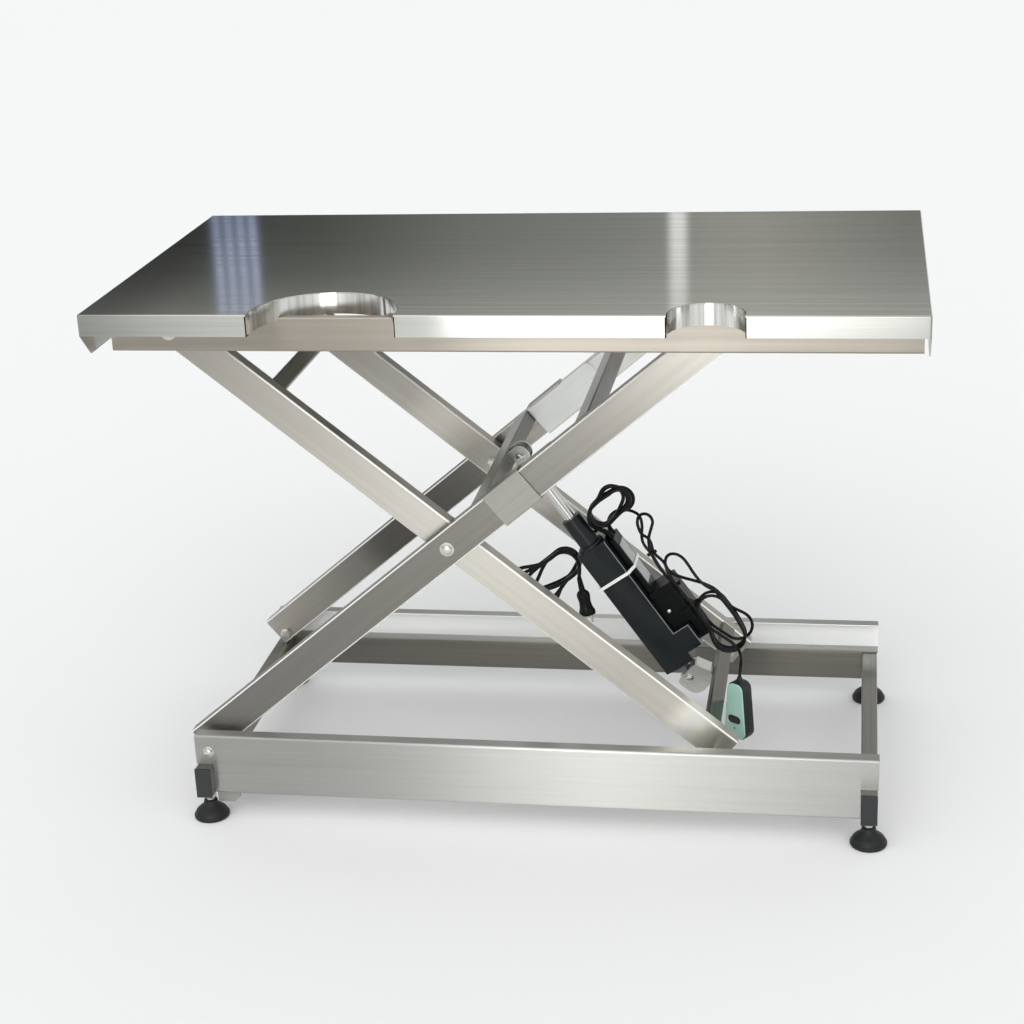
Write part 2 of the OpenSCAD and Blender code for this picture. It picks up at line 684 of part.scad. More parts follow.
// ---------- actuator ----------
module piston_rod() color("#e8e8e6") on_actuator()
    translate([collar_s0 - rod_hidden, 0, 0]) rotate([0, 90, 0])
        cylinder(h = pin_dist - eye_r - 4 - (collar_s0 - rod_hidden), r = rod_d / 2);
module rod_end() color("#222426") on_actuator() {
    difference() {
        union() {
            y_rod(pin_dist, 0, -eye_w / 2, eye_w / 2, eye_r);
            translate([pin_dist - eye_r - 4 + weld_gap, 0, 0]) rotate([0, 90, 0])
                cylinder(h = 12, r = rod_d / 2);
        }
        y_rod(pin_dist, 0, -eye_w, eye_w, axle_r + run_fit);
    }
}

module actuator_housing() color("#24282a") on_actuator() {
    half = housing_w / 2;
    difference() {
        along_s(housing_s0, housing_s1) round_rect(-half, half, housing_y0, housing_y1, 4);
        translate([housing_s1 - bore_depth, 0, 0]) rotate([0, 90, 0])
            cylinder(h = bore_depth + cut, r = rod_d / 2 + 0.5);
    }
}
module gear_case() color("#202426") on_actuator()
    along_s(case_s0, case_s1)
        round_rect(housing_w / 2 + weld_gap, case_t1, housing_y0, motor_y1, 4);
module motor_housing() color("#15181a") on_actuator()
    along_s(case_s1 + weld_gap, motor_s1)
        round_rect(housing_w / 2 + weld_gap, motor_t1, motor_y0, motor_y1, 12);
module control_box() color("#1b1e20") on_actuator()
    along_s(control_s0, control_s1)
        round_rect(housing_w / 2 + weld_gap, control_t1, control_y0, control_y1, 3);
module guide_collar() color("#1d2022") on_actuator() difference() {
    union() {
        along_s(collar_s0, collar_s1) circle(collar_r);
        along_s(housing_s1 + weld_gap, collar_s0 + 1) circle(22);
    }
    along_s(housing_s1 - cut, collar_s1 + cut) circle(rod_d / 2 + run_fit);
}
neck_half = 5.5;
module rear_clevis() color("#2b2e30") on_actuator() difference() {
    union() {
        y_rod(0, 0, -eye_w / 2, eye_w / 2, 11);
        block([0, -eye_w / 2, -neck_half], [housing_s0 - weld_gap, eye_w / 2, neck_half]);
    }
    y_rod(0, 0, -eye_w, eye_w, axle_r + run_fit);
}
module actuator_pin() color("#d6d6d4") on_actuator()
    y_rod(0, 0, -eye_w / 2 - 0.2, eye_w / 2 + 0.2, axle_r);
label_size = [78, 36, 0.4];
module blank_label() color("#a8aba9") on_actuator()
    act_block([control_s0 + 16, control_y0 + 6, control_t1 + weld_gap],
        [control_s0 + 16 + label_size[0], control_y0 + 6 + label_size[1],
         control_t1 + weld_gap + label_size[2]]);

// Outline around the spindle housing and the control box, grown by m
module tie_outline(m) {
    half = housing_w / 2;
    hull() {
        translate([-half - m, housing_y0 - m]) square([2 * (half + m), housing_y1 - housing_y0
            + 2 * m]);
        translate([half - m, control_y0 - m]) square([control_t1 - half + 2 * m + label_size[2]
            + weld_gap, control_y1 - control_y0 + 2 * m]);
    }
}
module cable_tie() color("#e9ebe9") on_actuator() along_s(tie_s, tie_s + tie_w)
    difference() {
        tie_outline(1.6);
        tie_outline(0.3);
    }
module cord_glands() color("#151718") on_actuator() for (y = [mains_gland_y, hand_gland_y])
    translate([control_s1 + weld_gap, y, -gland_t]) rotate([0, 90, 0])
        cylinder(h = gland_len - weld_gap, r = gland_r);

// ---------- cords ----------
module mains_lead() color("#101112") on_actuator() {
    cord(flip(mains_start), mains_d / 2, 1);
    cord(flip(mains_link), mains_d / 2);
    cord(flip(plug_lead), mains_d / 2);
}
module mains_hank_upper() color("#121314") hank(upper_hank, upper_hank_r, upper_hank_y);
module mains_hank_lower() color("#121314") hank(lower_hank, lower_hank_r, lower_hank_y);
plug_tip = [164, 0, -82.5];
plug_root = [237, 0, -50.5];
plug_dir = atan2(-(plug_tip[2] - plug_root[2]), plug_tip[0] - plug_root[0]);
plug_len = norm(plug_tip - plug_root);
pin_r = 2;
module mains_plug() color("#131415") on_actuator()
    translate([plug_root[0], plug_root[1], -plug_root[2]]) rotate([0, -plug_dir, 0]) {
        rotate([0, 90, 0]) cylinder(h = 26, r = 5.5);
        translate([24, 0, 0]) rotate([0, 90, 0]) cylinder(h = plug_len - 44, r = 10);
        translate([plug_len - 22, 0, 0]) rotate([0, 90, 0]) cylinder(h = 8, r = 12);
        for (z = [-5, 5]) translate([plug_len - 15, 0, z]) rotate([0, 90, 0])
            cylinder(h = 15, r = pin_r);
    }
module hand_cord() color("#101112") on_actuator() {
    for (p = [hand_start, top_loop, side_loop, hand_tail]) cord(flip(p), hand_cord_d / 2);
    cord(flip(hand_bundle), bundle_r);
}
module hand_cord_hank() color("#121314") hank(hand_hank, hand_hank_r, hand_hank_y);

// ---------- hand control ----------
// Local X runs across it, local -Y out of its face and local Z up it
module on_handset() {
    translate(handset_pos) rotate([0, 0, -handset_turn]) children();
}
// Tapered outline with round corners, grown by m, extruded from y0 to y1
module handset_slab(m, y0, y1) {
    low = -handset_len / 2;
    r = 9;
    translate([0, y1, 0]) rotate([90, 0, 0]) linear_extrude(y1 - y0) hull() {
        for (x = [-1, 1]) {
            translate([x * (handset_w / 2 - r), low + r]) circle(r + m, $fn = 32);
            translate([x * (handset_top_w / 2 - r), -low - r]) circle(r + m, $fn = 32);
        }
    }
}
module rocker_outline(m, y0, y1) {
    r = rocker_w / 2;
    translate([0, y1, rocker_z]) rotate([90, 0, 0]) linear_extrude(y1 - y0) {
        for (x = [-1, 1]) translate([x * (rocker_l / 2 - r), 0]) circle(r + m);
        square([rocker_l - 2 * r, 2 * (r + m)], center = true);
    }
}
face_y = -handset_t / 2;
module handset_shell() color("#17191a") on_handset() difference() {
    union() {
        handset_slab(0, face_y + face_t + weld_gap, handset_t / 2);
        translate([0, 0, handset_len / 2 - cut]) cylinder(h = neck_len + cut, r = 5);
    }
    rocker_outline(rocker_play, face_y, face_y + face_t + 7);
}
module handset_face() color("#9fc4b6") on_handset() difference() {
    handset_slab(-1.5, face_y, face_y + face_t);
    rocker_outline(rocker_play, face_y - cut, face_y + face_t + cut);
}
module handset_rocker() color("#1a1413") on_handset()
    rocker_outline(0, face_y - 1.2, face_y + face_t + 4);

base_front_rail();
base_back_rail();
base_left_crossbar();
base_right_crossbar();
crossbar_plugs();
base_pivot_bolts();
lug_plates();
foot_stem_fl();
foot_stem_fr();
foot_stem_bl();
foot_stem_br();
foot_pad_fl();
foot_pad_fr();
foot_pad_bl();
foot_pad_br();
outer_arm_front();
outer_arm_back();
outer_cross_tube();
actuator_beam();
beam_saddles();
rod_bracket();
centre_pivot_bolts();
top_roller_axles();
inner_arm_front();
inner_arm_back();
inner_cross_tube();
inner_low_beam();
actuator_bracket();
base_roller_axles();
top_sheet();
notch_walls();
top_front_rail();
top_back_rail();
top_bearers();
top_pivot_bolts();
top_roller_front();
top_roller_back();
base_roller_front();
base_roller_back();
piston_rod();
rod_end();
actuator_housing();
gear_case();
motor_housing();
control_box();
guide_collar();
rear_clevis();
actuator_pin();
blank_label();
cable_tie();
cord_glands();
mains_lead();
mains_hank_upper();
mains_hank_lower();
mains_plug();
hand_cord();
hand_cord_hank();
handset_shell();
handset_face();
handset_rocker();
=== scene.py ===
# Lifting examination table on a scissor frame, with its actuator, cords and hand control.
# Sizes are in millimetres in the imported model's frame; the actuator's own pieces are placed
# along (s), sideways (y) and outwards (t) from its lower pin.
import math
from math import cos, pi, radians, sin

import bmesh
import bpy
from mathutils import Matrix, Vector


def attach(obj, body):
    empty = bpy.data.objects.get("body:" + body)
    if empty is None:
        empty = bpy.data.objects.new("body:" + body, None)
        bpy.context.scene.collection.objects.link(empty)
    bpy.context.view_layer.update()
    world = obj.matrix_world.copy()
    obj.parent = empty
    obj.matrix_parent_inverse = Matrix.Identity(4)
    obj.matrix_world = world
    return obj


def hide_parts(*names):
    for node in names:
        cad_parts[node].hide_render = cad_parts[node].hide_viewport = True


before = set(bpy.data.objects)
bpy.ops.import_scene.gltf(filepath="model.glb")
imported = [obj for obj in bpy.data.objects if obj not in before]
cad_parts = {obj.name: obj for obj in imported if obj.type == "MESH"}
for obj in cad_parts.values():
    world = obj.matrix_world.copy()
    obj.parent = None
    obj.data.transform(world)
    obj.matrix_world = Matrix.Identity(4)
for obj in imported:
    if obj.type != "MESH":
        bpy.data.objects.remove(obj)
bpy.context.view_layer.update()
print("frame loaded:", len(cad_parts), "nodes")

mm = 0.001  # the frame is in metres


def linearColour(hexText):
    # sRGB hex to the linear values that the shader takes
    parts = [int(hexText.lstrip("#")[i:i + 2], 16) / 255 for i in (0, 2, 4)]
    return [p / 12.92 if p <= 0.04045 else ((p + 0.055) / 1.055) ** 2.4 for p in parts] + [1.0]


def addNode(tree, kind, settings=None, inputs=None):
    # settings are the node's own, inputs are values or sockets to link from
    node = tree.nodes.new(kind)
    for name, value in (settings or {}).items():
        setattr(node, name, value)
    for name, value in (inputs or {}).items():
        socket = node.inputs[name]
        if isinstance(value, bpy.types.NodeSocket):
            tree.links.new(value, socket)
        else:
            socket.default_value = value
    return node


def startMaterial(name, values):
    # a new material with its one shader; values go on the shader's own sockets
    material = bpy.data.materials.new(name)
    material.use_nodes = True
    tree = material.node_tree
    shader = tree.nodes["Principled BSDF"]
    for key, value in values.items():
        shader.inputs[key].default_value = value
    return material, tree, shader


def at(x, y, z):
    # a shift in mm
    return Matrix.Translation((x * mm, y * mm, z * mm))


def newObject(name, data):
    obj = bpy.data.objects.new(name, data)
    bpy.context.scene.collection.objects.link(obj)
    return obj


# the actuator's lower pin in metres, and its lean
actuatorPin = (0.241555, 0.155475)
leanSin, leanCos = 0.568518, 0.822671
actuatorMatrix = Matrix((
    (-leanSin, 0, leanCos, actuatorPin[0]),
    (0, 1, 0, 0),
    (leanCos, 0, leanSin, actuatorPin[1]),
    (0, 0, 0, 1)))


def onActuator(s, y, t):
    # actuator place in mm to a point in the frame
    return Vector((actuatorPin[0] + (-leanSin * s + leanCos * t) * mm, y * mm,
                   actuatorPin[1] + (leanCos * s + leanSin * t) * mm))


# the camera's place is in metres and its angles in degrees
camera = {"place": (0.5029, -2.9852, 1.5734), "lens": 71.09,
          "yaw": 10.3, "pitch": 20.6, "roll": -2.66}


def makeCamera(spec):
    yaw, pitch, roll = (radians(spec[k]) for k in ("yaw", "pitch", "roll"))
    ahead = Vector((-sin(yaw) * cos(pitch), cos(yaw) * cos(pitch), -sin(pitch)))
    right = ahead.cross(Vector((0, 0, 1))).normalized()
    up = right.cross(ahead)
    tilted = cos(roll) * right + sin(roll) * up
    upright = -sin(roll) * right + cos(roll) * up
    turn = Matrix((tilted, upright, -ahead)).transposed()
    data = bpy.data.cameras.new("tableCamera")
    data.sensor_width = 36
    data.lens = spec["lens"]
    data.clip_end = 200
    obj = newObject("tableCamera", data)
    obj.matrix_world = Matrix.Translation(spec["place"]) @ turn.to_4x4()
    bpy.context.scene.camera = obj


makeCamera(camera)
print("camera placed")


def grainVector(tree, coarse, fine, along):
    # stretches the pattern along the brushing: coarse and fine are features per metre
    place = addNode(tree, "ShaderNodeTexCoord")
    scale = [fine, fine, fine]
    scale["XYZ".index(along)] = coarse
    return addNode(tree, "ShaderNodeMapping", None,
                   {"Vector": place.outputs["Object"], "Scale": scale}).outputs[0]


def tonesAlong(tree, place, tones):
    # a colour ramp over a stretch of values; tones are (value, linear colour)
    first, last = tones[0][0], tones[-1][0]
    share = addNode(tree, "ShaderNodeMapRange", None,
                    {0: place, 1: first, 2: last, 3: 0.0, 4: 1.0})
    ramp = addNode(tree, "ShaderNodeValToRGB", None, {0: share.outputs[0]})
    stops = ramp.color_ramp.elements
    while len(stops) < len(tones):
        stops.new(1.0)
    for stop, (where, colour) in zip(stops, tones):
        stop.position = (where - first) / (last - first)
        stop.color = colour
    return ramp


rampScale = 4.0  # a ramp holds no tone above 1, so it keeps a quarter of each brightness
brightestSteel = (0.94, 0.93, 0.91)
noiseSpan = (0.32, 0.68)  # nearly all of a noise pattern lies between these
cloudSpan = (0.3, 0.7)  # the same for a pattern of one coarse cloud
lineRun, streakRun = 7, 1.3  # lines and streaks per metre along the brushing
scratchDepth = 0.0002
mottleScale = 28.0  # a mottle in plastic is about 35 mm across


def brushedStainless(name, pale, dark, along, smooth=0.27, rough=0.33, lineMm=1.3,
                     streakMm=5, lineShare=0.4, bump=0.05, smear=0.97, tones=(), turned=0.0,
                     metal=1.0):
    # Stainless sheet, linished with a belt: fine lines that stretch every reflection across
    # the brushing. Real lines are about 0.15 mm apart, too fine to show; drawn at lineMm.
    # tones are (metres along the piece, share of the base tone): painted reflection that stands
    # in for a part of what the piece mirrors; it stays put when the viewer moves.
    material, tree, shader = startMaterial(name, {"Metallic": metal, "Anisotropic": smear,
                                                  "Anisotropic Rotation": turned})
    lines = addNode(tree, "ShaderNodeTexNoise", None,
                    {"Vector": grainVector(tree, lineRun, 1000 / lineMm, along),
                     "Scale": 1.0, "Detail": 2.0, "Roughness": 0.5})
    streaks = addNode(tree, "ShaderNodeTexNoise", None,
                      {"Vector": grainVector(tree, streakRun, 1000 / streakMm, along),
                       "Scale": 1.0, "Detail": 4.0, "Roughness": 0.55})
    tone = addNode(tree, "ShaderNodeMix", {"data_type": "FLOAT"},
                   {0: lineShare, 2: streaks.outputs[0], 3: lines.outputs[0]})
    spread = addNode(tree, "ShaderNodeMapRange", None,
                     {0: tone.outputs[0], 1: noiseSpan[0], 2: noiseSpan[1], 3: 0.0, 4: 1.0})
    colour = addNode(tree, "ShaderNodeMix", {"data_type": "RGBA"},
                     {0: spread.outputs[0], 6: linearColour(dark), 7: linearColour(pale)})
    finished = colour.outputs[2]
    # painted reflection: the base colour is scaled by the stops along the piece
    if tones:
        place = addNode(tree, "ShaderNodeTexCoord")
        parts = addNode(tree, "ShaderNodeSeparateXYZ", None, {0: place.outputs["Object"]})
        ramp = tonesAlong(tree, parts.outputs[along],
                          [(where, [bright / rampScale] * 3 + [1.0]) for where, bright in tones])
        ramp.color_ramp.interpolation = "B_SPLINE"
        toned = addNode(tree, "ShaderNodeVectorMath", {"operation": "MULTIPLY"},
                        {0: finished, 1: ramp.outputs[0]})
        toned = addNode(tree, "ShaderNodeVectorMath", {"operation": "SCALE"},
                        {0: toned.outputs[0], 3: rampScale})
        finished = addNode(tree, "ShaderNodeVectorMath", {"operation": "MINIMUM"},
                           {0: toned.outputs[0], 1: brightestSteel}).outputs[0]
    sheen = addNode(tree, "ShaderNodeMapRange", None,
                    {0: tone.outputs[0], 1: noiseSpan[0], 2: noiseSpan[1], 3: rough,
                     4: smooth})
    relief = addNode(tree, "ShaderNodeBump", None,
                     {"Strength": bump, "Distance": scratchDepth, "Height": lines.outputs[0]})
    across = addNode(tree, "ShaderNodeTangent", {"direction_type": "RADIAL", "axis": along})
    tree.links.new(finished, shader.inputs["Base Color"])
    tree.links.new(sheen.outputs[0], shader.inputs["Roughness"])
    tree.links.new(relief.outputs[0], shader.inputs["Normal"])
    tree.links.new(across.outputs[0], shader.inputs["Tangent"])
    return material


def platedSteel(name, hexText, roughness, wearMm=3.0):
    # zinc or chrome plate on turned steel: bright, with faint cloudy wear
    material, tree, shader = startMaterial(name, {"Metallic": 1.0,
                                                  "Base Color": linearColour(hexText)})
    place = addNode(tree, "ShaderNodeTexCoord")
    cloud = addNode(tree, "ShaderNodeTexNoise", None,
                    {"Vector": place.outputs["Object"], "Scale": 1000 / wearMm, "Detail": 3.0})
    sheen = addNode(tree, "ShaderNodeMapRange", None,
                    {0: cloud.outputs[0], 1: cloudSpan[0], 2: cloudSpan[1],
                     3: roughness * 0.7, 4: roughness * 1.4})
    tree.links.new(sheen.outputs[0], shader.inputs["Roughness"])
    return material


def mouldedPlastic(name, hexText, pale, roughness, grainMm, bump, specular=0.5):
    # moulded plastic or rubber: an even colour with a faint mottle and a spark-eroded grain
    material, tree, shader = startMaterial(name, {"Specular IOR Level": specular})
    place = addNode(tree, "ShaderNodeTexCoord")
    grain = addNode(tree, "ShaderNodeTexNoise", None,
                    {"Vector": place.outputs["Object"], "Scale": 1000 / grainMm,
                     "Detail": 2.0})
    mottle = addNode(tree, "ShaderNodeTexNoise", None,
                     {"Vector": place.outputs["Object"], "Scale": mottleScale,
                      "Detail": 3.0})
    colour = addNode(tree, "ShaderNodeMix", {"data_type": "RGBA"},
                     {0: mottle.outputs[0], 6: linearColour(hexText), 7: linearColour(pale)})
    sheen = addNode(tree, "ShaderNodeMapRange", None,
                    {0: mottle.outputs[0], 1: cloudSpan[0], 2: cloudSpan[1],
                     3: roughness - 0.05, 4: roughness + 0.07})
    relief = addNode(tree, "ShaderNodeBump", None,
                     {"Strength": bump, "Distance": scratchDepth, "Height": grain.outputs[0]})
    tree.links.new(colour.outputs[2], shader.inputs["Base Color"])
    tree.links.new(sheen.outputs[0], shader.inputs["Roughness"])
    tree.links.new(relief.outputs[0], shader.inputs["Normal"])
    return material


# Grade 304 stainless throughout; the top is the same sheet with a finer belt finish, so it
# mirrors the room more sharply.
# the stops along the top and its rims are painted reflection; the top's left end is painted darker
steelTop = brushedStainless("linishedStainlessTop", "#d2d3cc", "#adaea7", "X", smooth=0.055,
                            rough=0.078, streakMm=11, lineShare=0.3,
                            tones=((-0.6, 0.45), (-0.54, 0.5), (-0.47, 1.0), (-0.3, 0.95),
                                   (0.6, 1.0)))
steelRim = brushedStainless(
    "linishedStainlessRim", "#d4d5cf", "#c3c4be", "X", smooth=0.11, rough=0.14, streakMm=8,
    tones=((-0.6, 0.44), (-0.5, 0.72), (-0.36, 0.94), (0.0, 1.04), (0.25, 1.0), (0.45, 0.84),
           (0.6, 0.5)))
steelEnd = brushedStainless("linishedStainlessEnd", "#b4b5af", "#a3a49e", "Y", smooth=0.2,
                            rough=0.26, streakMm=8)
# the stops along the top rails and the base rails are painted reflection
steelTopRail = brushedStainless(
    "linishedStainlessTopRail", "#b6afa4", "#aca59a", "X", streakMm=8,
    tones=((-0.55, 0.84), (-0.3, 0.86), (-0.1, 0.95), (0.15, 0.92), (0.4, 0.74), (0.58, 0.7)))
steelRailX = brushedStainless(
    "linishedStainlessRail", "#bcbbb8", "#b0afac", "X", streakMm=9,
    tones=((-0.53, 0.84), (-0.35, 0.80), (-0.14, 1.04), (0.04, 1.28), (0.14, 1.38),
           (0.26, 1.18), (0.42, 0.93), (0.55, 0.84)))
# a pale, barely metallic copy of the steel: painted reflection, for the channel web and the back
# stiffener
steelPaintedBright = brushedStainless("paleStainlessPaintedReflection", "#f8f9f8", "#f0f2f0", "X", smooth=0.2,
                            rough=0.28, smear=0.3, metal=0.15)
steelRailY = brushedStainless("linishedStainlessBearer", "#8f8e88", "#82817b", "Y")
# painted reflection: each arm's shares of its base tone, from its left end to its right
armPaintedReflections = {
    "outer_arm_front": ((-0.54, 0.55), (-0.15, 0.64), (0.2, 0.86), (0.54, 1.4)),
    "inner_arm_front": ((-0.54, 0.84), (-0.3, 0.7), (-0.1, 0.92), (0.2, 1.55), (0.42, 1.2),
                        (0.465, 3.4), (0.51, 0.7)),
    "outer_arm_back": ((-0.54, 1.2), (-0.32, 0.8), (-0.27, 0.34), (-0.1, 0.3), (0.05, 0.7),
                       (0.18, 2.9), (0.54, 2.4)),
    "inner_arm_back": ((-0.54, 0.5), (-0.18, 0.65), (-0.1, 1.25), (0.54, 1.1)),
}
steelArms = {node: brushedStainless("linishedStainless" + node.title().replace("_", ""),
                                    "#afaca5", "#a6a39b", "X", streakMm=8, tones=tones,
                                    bump=0.03)
             for node, tones in armPaintedReflections.items()}
steelArmBack = brushedStainless("linishedStainlessArmBack", "#98958f", "#8f8c86", "X",
                                streakMm=8, bump=0.03)
# painted highlight: the rolled corners of a tube get a white copy of the steel that draws a thin
# line of light
steelCornerPaintedHighlight = brushedStainless("stainlessCornerPaintedHighlight", "#ffffff", "#f4f3f0", "X", smooth=0.2,
                               rough=0.27, smear=0.3, metal=0.5)
# a darker copy of the steel for the base's cross bars: painted shade
steelCross = brushedStainless("linishedStainlessCrossBar", "#8e8c87", "#82807b", "X")
# a dark copy of the steel for the tube under each base channel: painted shade
steelTubePaintedShade = brushedStainless("stainlessTubePaintedShade", "#827f78", "#76736c", "X", streakMm=9)
# a darker copy of the steel for the cross tubes and beams between the arms: painted shade
steelTubeX = brushedStainless("linishedStainlessTube", "#74726c", "#696761", "X")
steelPlateX = brushedStainless("linishedStainlessPlate", "#bdbbb4", "#b1afa8", "X")
steelBracket = brushedStainless("tumbledStainlessBracket", "#e4e4e0", "#d2d2ce", "X", smear=0.4)
steelNotch = brushedStainless("planishedStainlessNotchWall", "#f4f3f0", "#a5a49f", "Z",
                              smooth=0.12, rough=0.17, lineMm=3, streakMm=14, lineShare=0.2,
                              smear=0.9, turned=0.25)
boltZinc = platedSteel("zincPlatedBolt", "#d3d2cc", 0.22)
rodChrome = platedSteel("hardChromedRod", "#e4e4e2", 0.09)
castZinc = platedSteel("castZincClevis", "#8d8f90", 0.4)
rollerNylon = mouldedPlastic("turnedNylonRoller", "#dcddd8", "#e6e6e2", 0.45, 0.6, 0.05)
capPlastic = mouldedPlastic("mouldedPolyethyleneCap", "#1b1d1f", "#282a2c", 0.45, 0.5, 0.1)
padRubber = mouldedPlastic("mouldedNitrilePad", "#131415", "#1f2021", 0.5, 0.8, 0.15, 0.35)
casePlastic = mouldedPlastic("mouldedGlassNylonCase", "#0b1012", "#151c1f", 0.3, 0.35, 0.12,
                             0.38)
motorPlastic = mouldedPlastic("mouldedNylonMotorCover", "#040607", "#090c0e", 0.36, 0.35,
                              0.12, 0.16)
# a lighter grey for the case's bead: painted highlight
edgePaintedHighlight = mouldedPlastic("nylonEdgePaintedHighlight", "#6d7275", "#8a8f92", 0.35, 0.4, 0.05)
labelFilm = mouldedPlastic("satinPolyesterLabel", "#8f9492", "#a9aeab", 0.28, 2.5, 0.02)
tieNylon = mouldedPlastic("mouldedNylonTie", "#dfe1df", "#eff0ee", 0.35, 0.6, 0.03)
cordSheath = mouldedPlastic("extrudedPvcSheath", "#050506", "#0c0d0e", 0.24, 1.2, 0.04,
                            0.22)
shellRubber = mouldedPlastic("overmouldedElastomerShell", "#0f1213", "#1c2122", 0.4, 0.4, 0.1)
faceGreen = mouldedPlastic("mouldedAbsFace", "#96bfb0", "#a7cbbd", 0.34, 0.5, 0.04)
rockerBlack = mouldedPlastic("mouldedAbsRocker", "#150f0e", "#221a18", 0.3, 0.5, 0.05)

nodeFinish = {
    boltZinc: ("top_roller_axles", "base_roller_axles", "actuator_pin"),
    rodChrome: ("piston_rod",),
    rollerNylon: ("top_roller_front", "top_roller_back", "base_roller_front",
                  "base_roller_back"),
    casePlastic: ("cord_glands",),
    labelFilm: ("blank_label",),
    tieNylon: ("cable_tie",),
}
for finish, names in nodeFinish.items():
    for nodeName in names:
        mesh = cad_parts[nodeName].data
        mesh.materials.clear()
        mesh.materials.append(finish)
print("finishes made")


def meshOf(name, bm):
    # the finished mesh, with its faces turned outwards
    bmesh.ops.recalc_face_normals(bm, faces=bm.faces)
    mesh = bpy.data.meshes.new(name)
    bm.to_mesh(mesh)
    bm.free()
    return mesh


def addPiece(name, bm, body, finish, replaces=(), place=Matrix.Identity(4), sharp=38):
    # a finished mesh becomes a piece of the object; flat faces keep flat shading
    mesh = meshOf(name, bm)
    mesh.polygons.foreach_set("use_smooth", [True] * len(mesh.polygons))
    mesh.set_sharp_from_angle(angle=radians(sharp))
    obj = newObject(name, mesh)
    obj.matrix_world = place
    even = obj.modifiers.new("evenNormals", "WEIGHTED_NORMAL")
    even.keep_sharp = True
    for one in finish if isinstance(finish, tuple) else (finish,):
        mesh.materials.append(one)
    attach(obj, body)
    if replaces:
        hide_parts(*replaces)
    return obj


def roundCorners(corners, stepDegrees=18):
    # corners are (a, b, radius); returns the outline with each corner turned into an arc
    points = []
    count = len(corners)
    for i, (x, y, r) in enumerate(corners):
        here = Vector((x, y))
        back = Vector(corners[i - 1][:2]) - here
        ahead = Vector(corners[(i + 1) % count][:2]) - here
        inside = back.angle(ahead)
        if r <= 0 or abs(inside - pi) < 1e-3:
            points.append((x, y))
            continue
        reach = r / math.tan(inside / 2)
        back.normalize()
        ahead.normalize()
        centre = here + (back + ahead).normalized() * (r / sin(inside / 2))
        first = here + back * reach - centre
        turn = here + ahead * reach - centre
        sweep = first.angle_signed(turn)
        steps = max(2, round(abs(math.degrees(sweep)) / stepDegrees))
        for k in range(steps + 1):
            a = -sweep * k / steps
            points.append((centre.x + first.x * cos(a) - first.y * sin(a),
                           centre.y + first.x * sin(a) + first.y * cos(a)))
    return points


def circle(radius, count):
    return [(radius * cos(a), radius * sin(a)) for a in (2 * pi * k / count for k in range(count))]


def vertex(bm, x, y, z):
    return bm.verts.new((x * mm, y * mm, z * mm))


def stitch(bm, rings, index=0):
    # walls from ring to ring
    for a, b in zip(rings, rings[1:]):
        for i in range(len(a)):
            j = (i + 1) % len(a)
            bm.faces.new((a[i], a[j], b[j], b[i])).material_index = index


def capped(bm, rings, index=0):
    # a closed solid: walls from ring to ring, and a face across each end
    stitch(bm, rings, index)
    for ring in (rings[0], rings[-1]):
        bm.faces.new(ring).material_index = index


def extrude(bm, loops, x0, x1):
    # closed outlines in [y, z], the first outside and the others holes, drawn out along X
    rims = [[], []]
    for loop in loops:
        ends = [[vertex(bm, x, y, z) for y, z in loop] for x in (x0, x1)]
        for rim, ring in zip(rims, ends):
            rim += [bm.edges.new(pair) for pair in zip(ring, ring[1:] + ring[:1])]
        stitch(bm, ends)
    for rim in rims:
        bmesh.ops.triangle_fill(bm, use_beauty=True, edges=rim)


def plate(bm, outline, y0, y1, index=0):
    # an outline in [x, z], y0 to y1 thick
    capped(bm, [[vertex(bm, x, y, z) for x, z in outline] for y in (y0, y1)], index)


def block(bm, low, high, place=Matrix.Identity(4)):
    # a plain block between two corners
    sides = ((low[0], low[1]), (high[0], low[1]), (high[0], high[1]), (low[0], high[1]))
    capped(bm, [[bm.verts.new(place @ Vector((x * mm, y * mm, z * mm))) for x, y in sides]
                for z in (low[2], high[2])])


def lathe(bm, profile, segments, place, index=0):
    # profile is (radius, height) from the axis round to the axis again, turned about local Z
    rings = []
    for r, h in profile:
        count = segments if r > 0 else 1
        rings.append([bm.verts.new(place @ Vector((r * mm * cos(a), r * mm * sin(a), h * mm)))
                      for a in (2 * pi * k / segments for k in range(count))])
    for a, b in zip(rings, rings[1:]):
        for k in range(segments):
            j = (k + 1) % segments
            ring = [a[k % len(a)], a[j % len(a)], b[j % len(b)], b[k % len(b)]]
            corners = [v for i, v in enumerate(ring) if v not in ring[:i]]
            if len(corners) > 2:
                bm.faces.new(corners).material_index = index


def softenEdges(bm, width, segments=2, angle=40):
    # breaks the edges of a piece, as deburring or a mould's radius does
    edges = [e for e in bm.edges if len(e.link_faces) == 2
             and e.calc_face_angle(0) > radians(angle)]
    bmesh.ops.bevel(bm, geom=edges, offset=width * mm, offset_type="OFFSET", segments=segments,
                    profile=0.5, affect="EDGES", clamp_overlap=True)


def softened(node, name, body, finish, width, segments=2):
    # the CAD shape with its edges broken
    bm = bmesh.new()
    bm.from_mesh(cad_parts[node].data)
    bmesh.ops.remove_doubles(bm, verts=bm.verts, dist=2e-5)
    bmesh.ops.dissolve_limit(bm, angle_limit=radians(0.8), verts=bm.verts, edges=bm.edges)
    softenEdges(bm, width, segments)
    addPiece(name, bm, body, finish, (node,))


arms = {"centre": (-100.06, 458.0), "angle": 39.3924, "half": 537.38, "height": 52,
        "thick": 25, "wall": 2, "radius": 3.2, "outer": 214.9, "inner": 185.9}


def boxLoop(w, h, radius):
    return roundCorners([(-w / 2, -h / 2, radius), (w / 2, -h / 2, radius),
                         (w / 2, h / 2, radius), (-w / 2, h / 2, radius)])


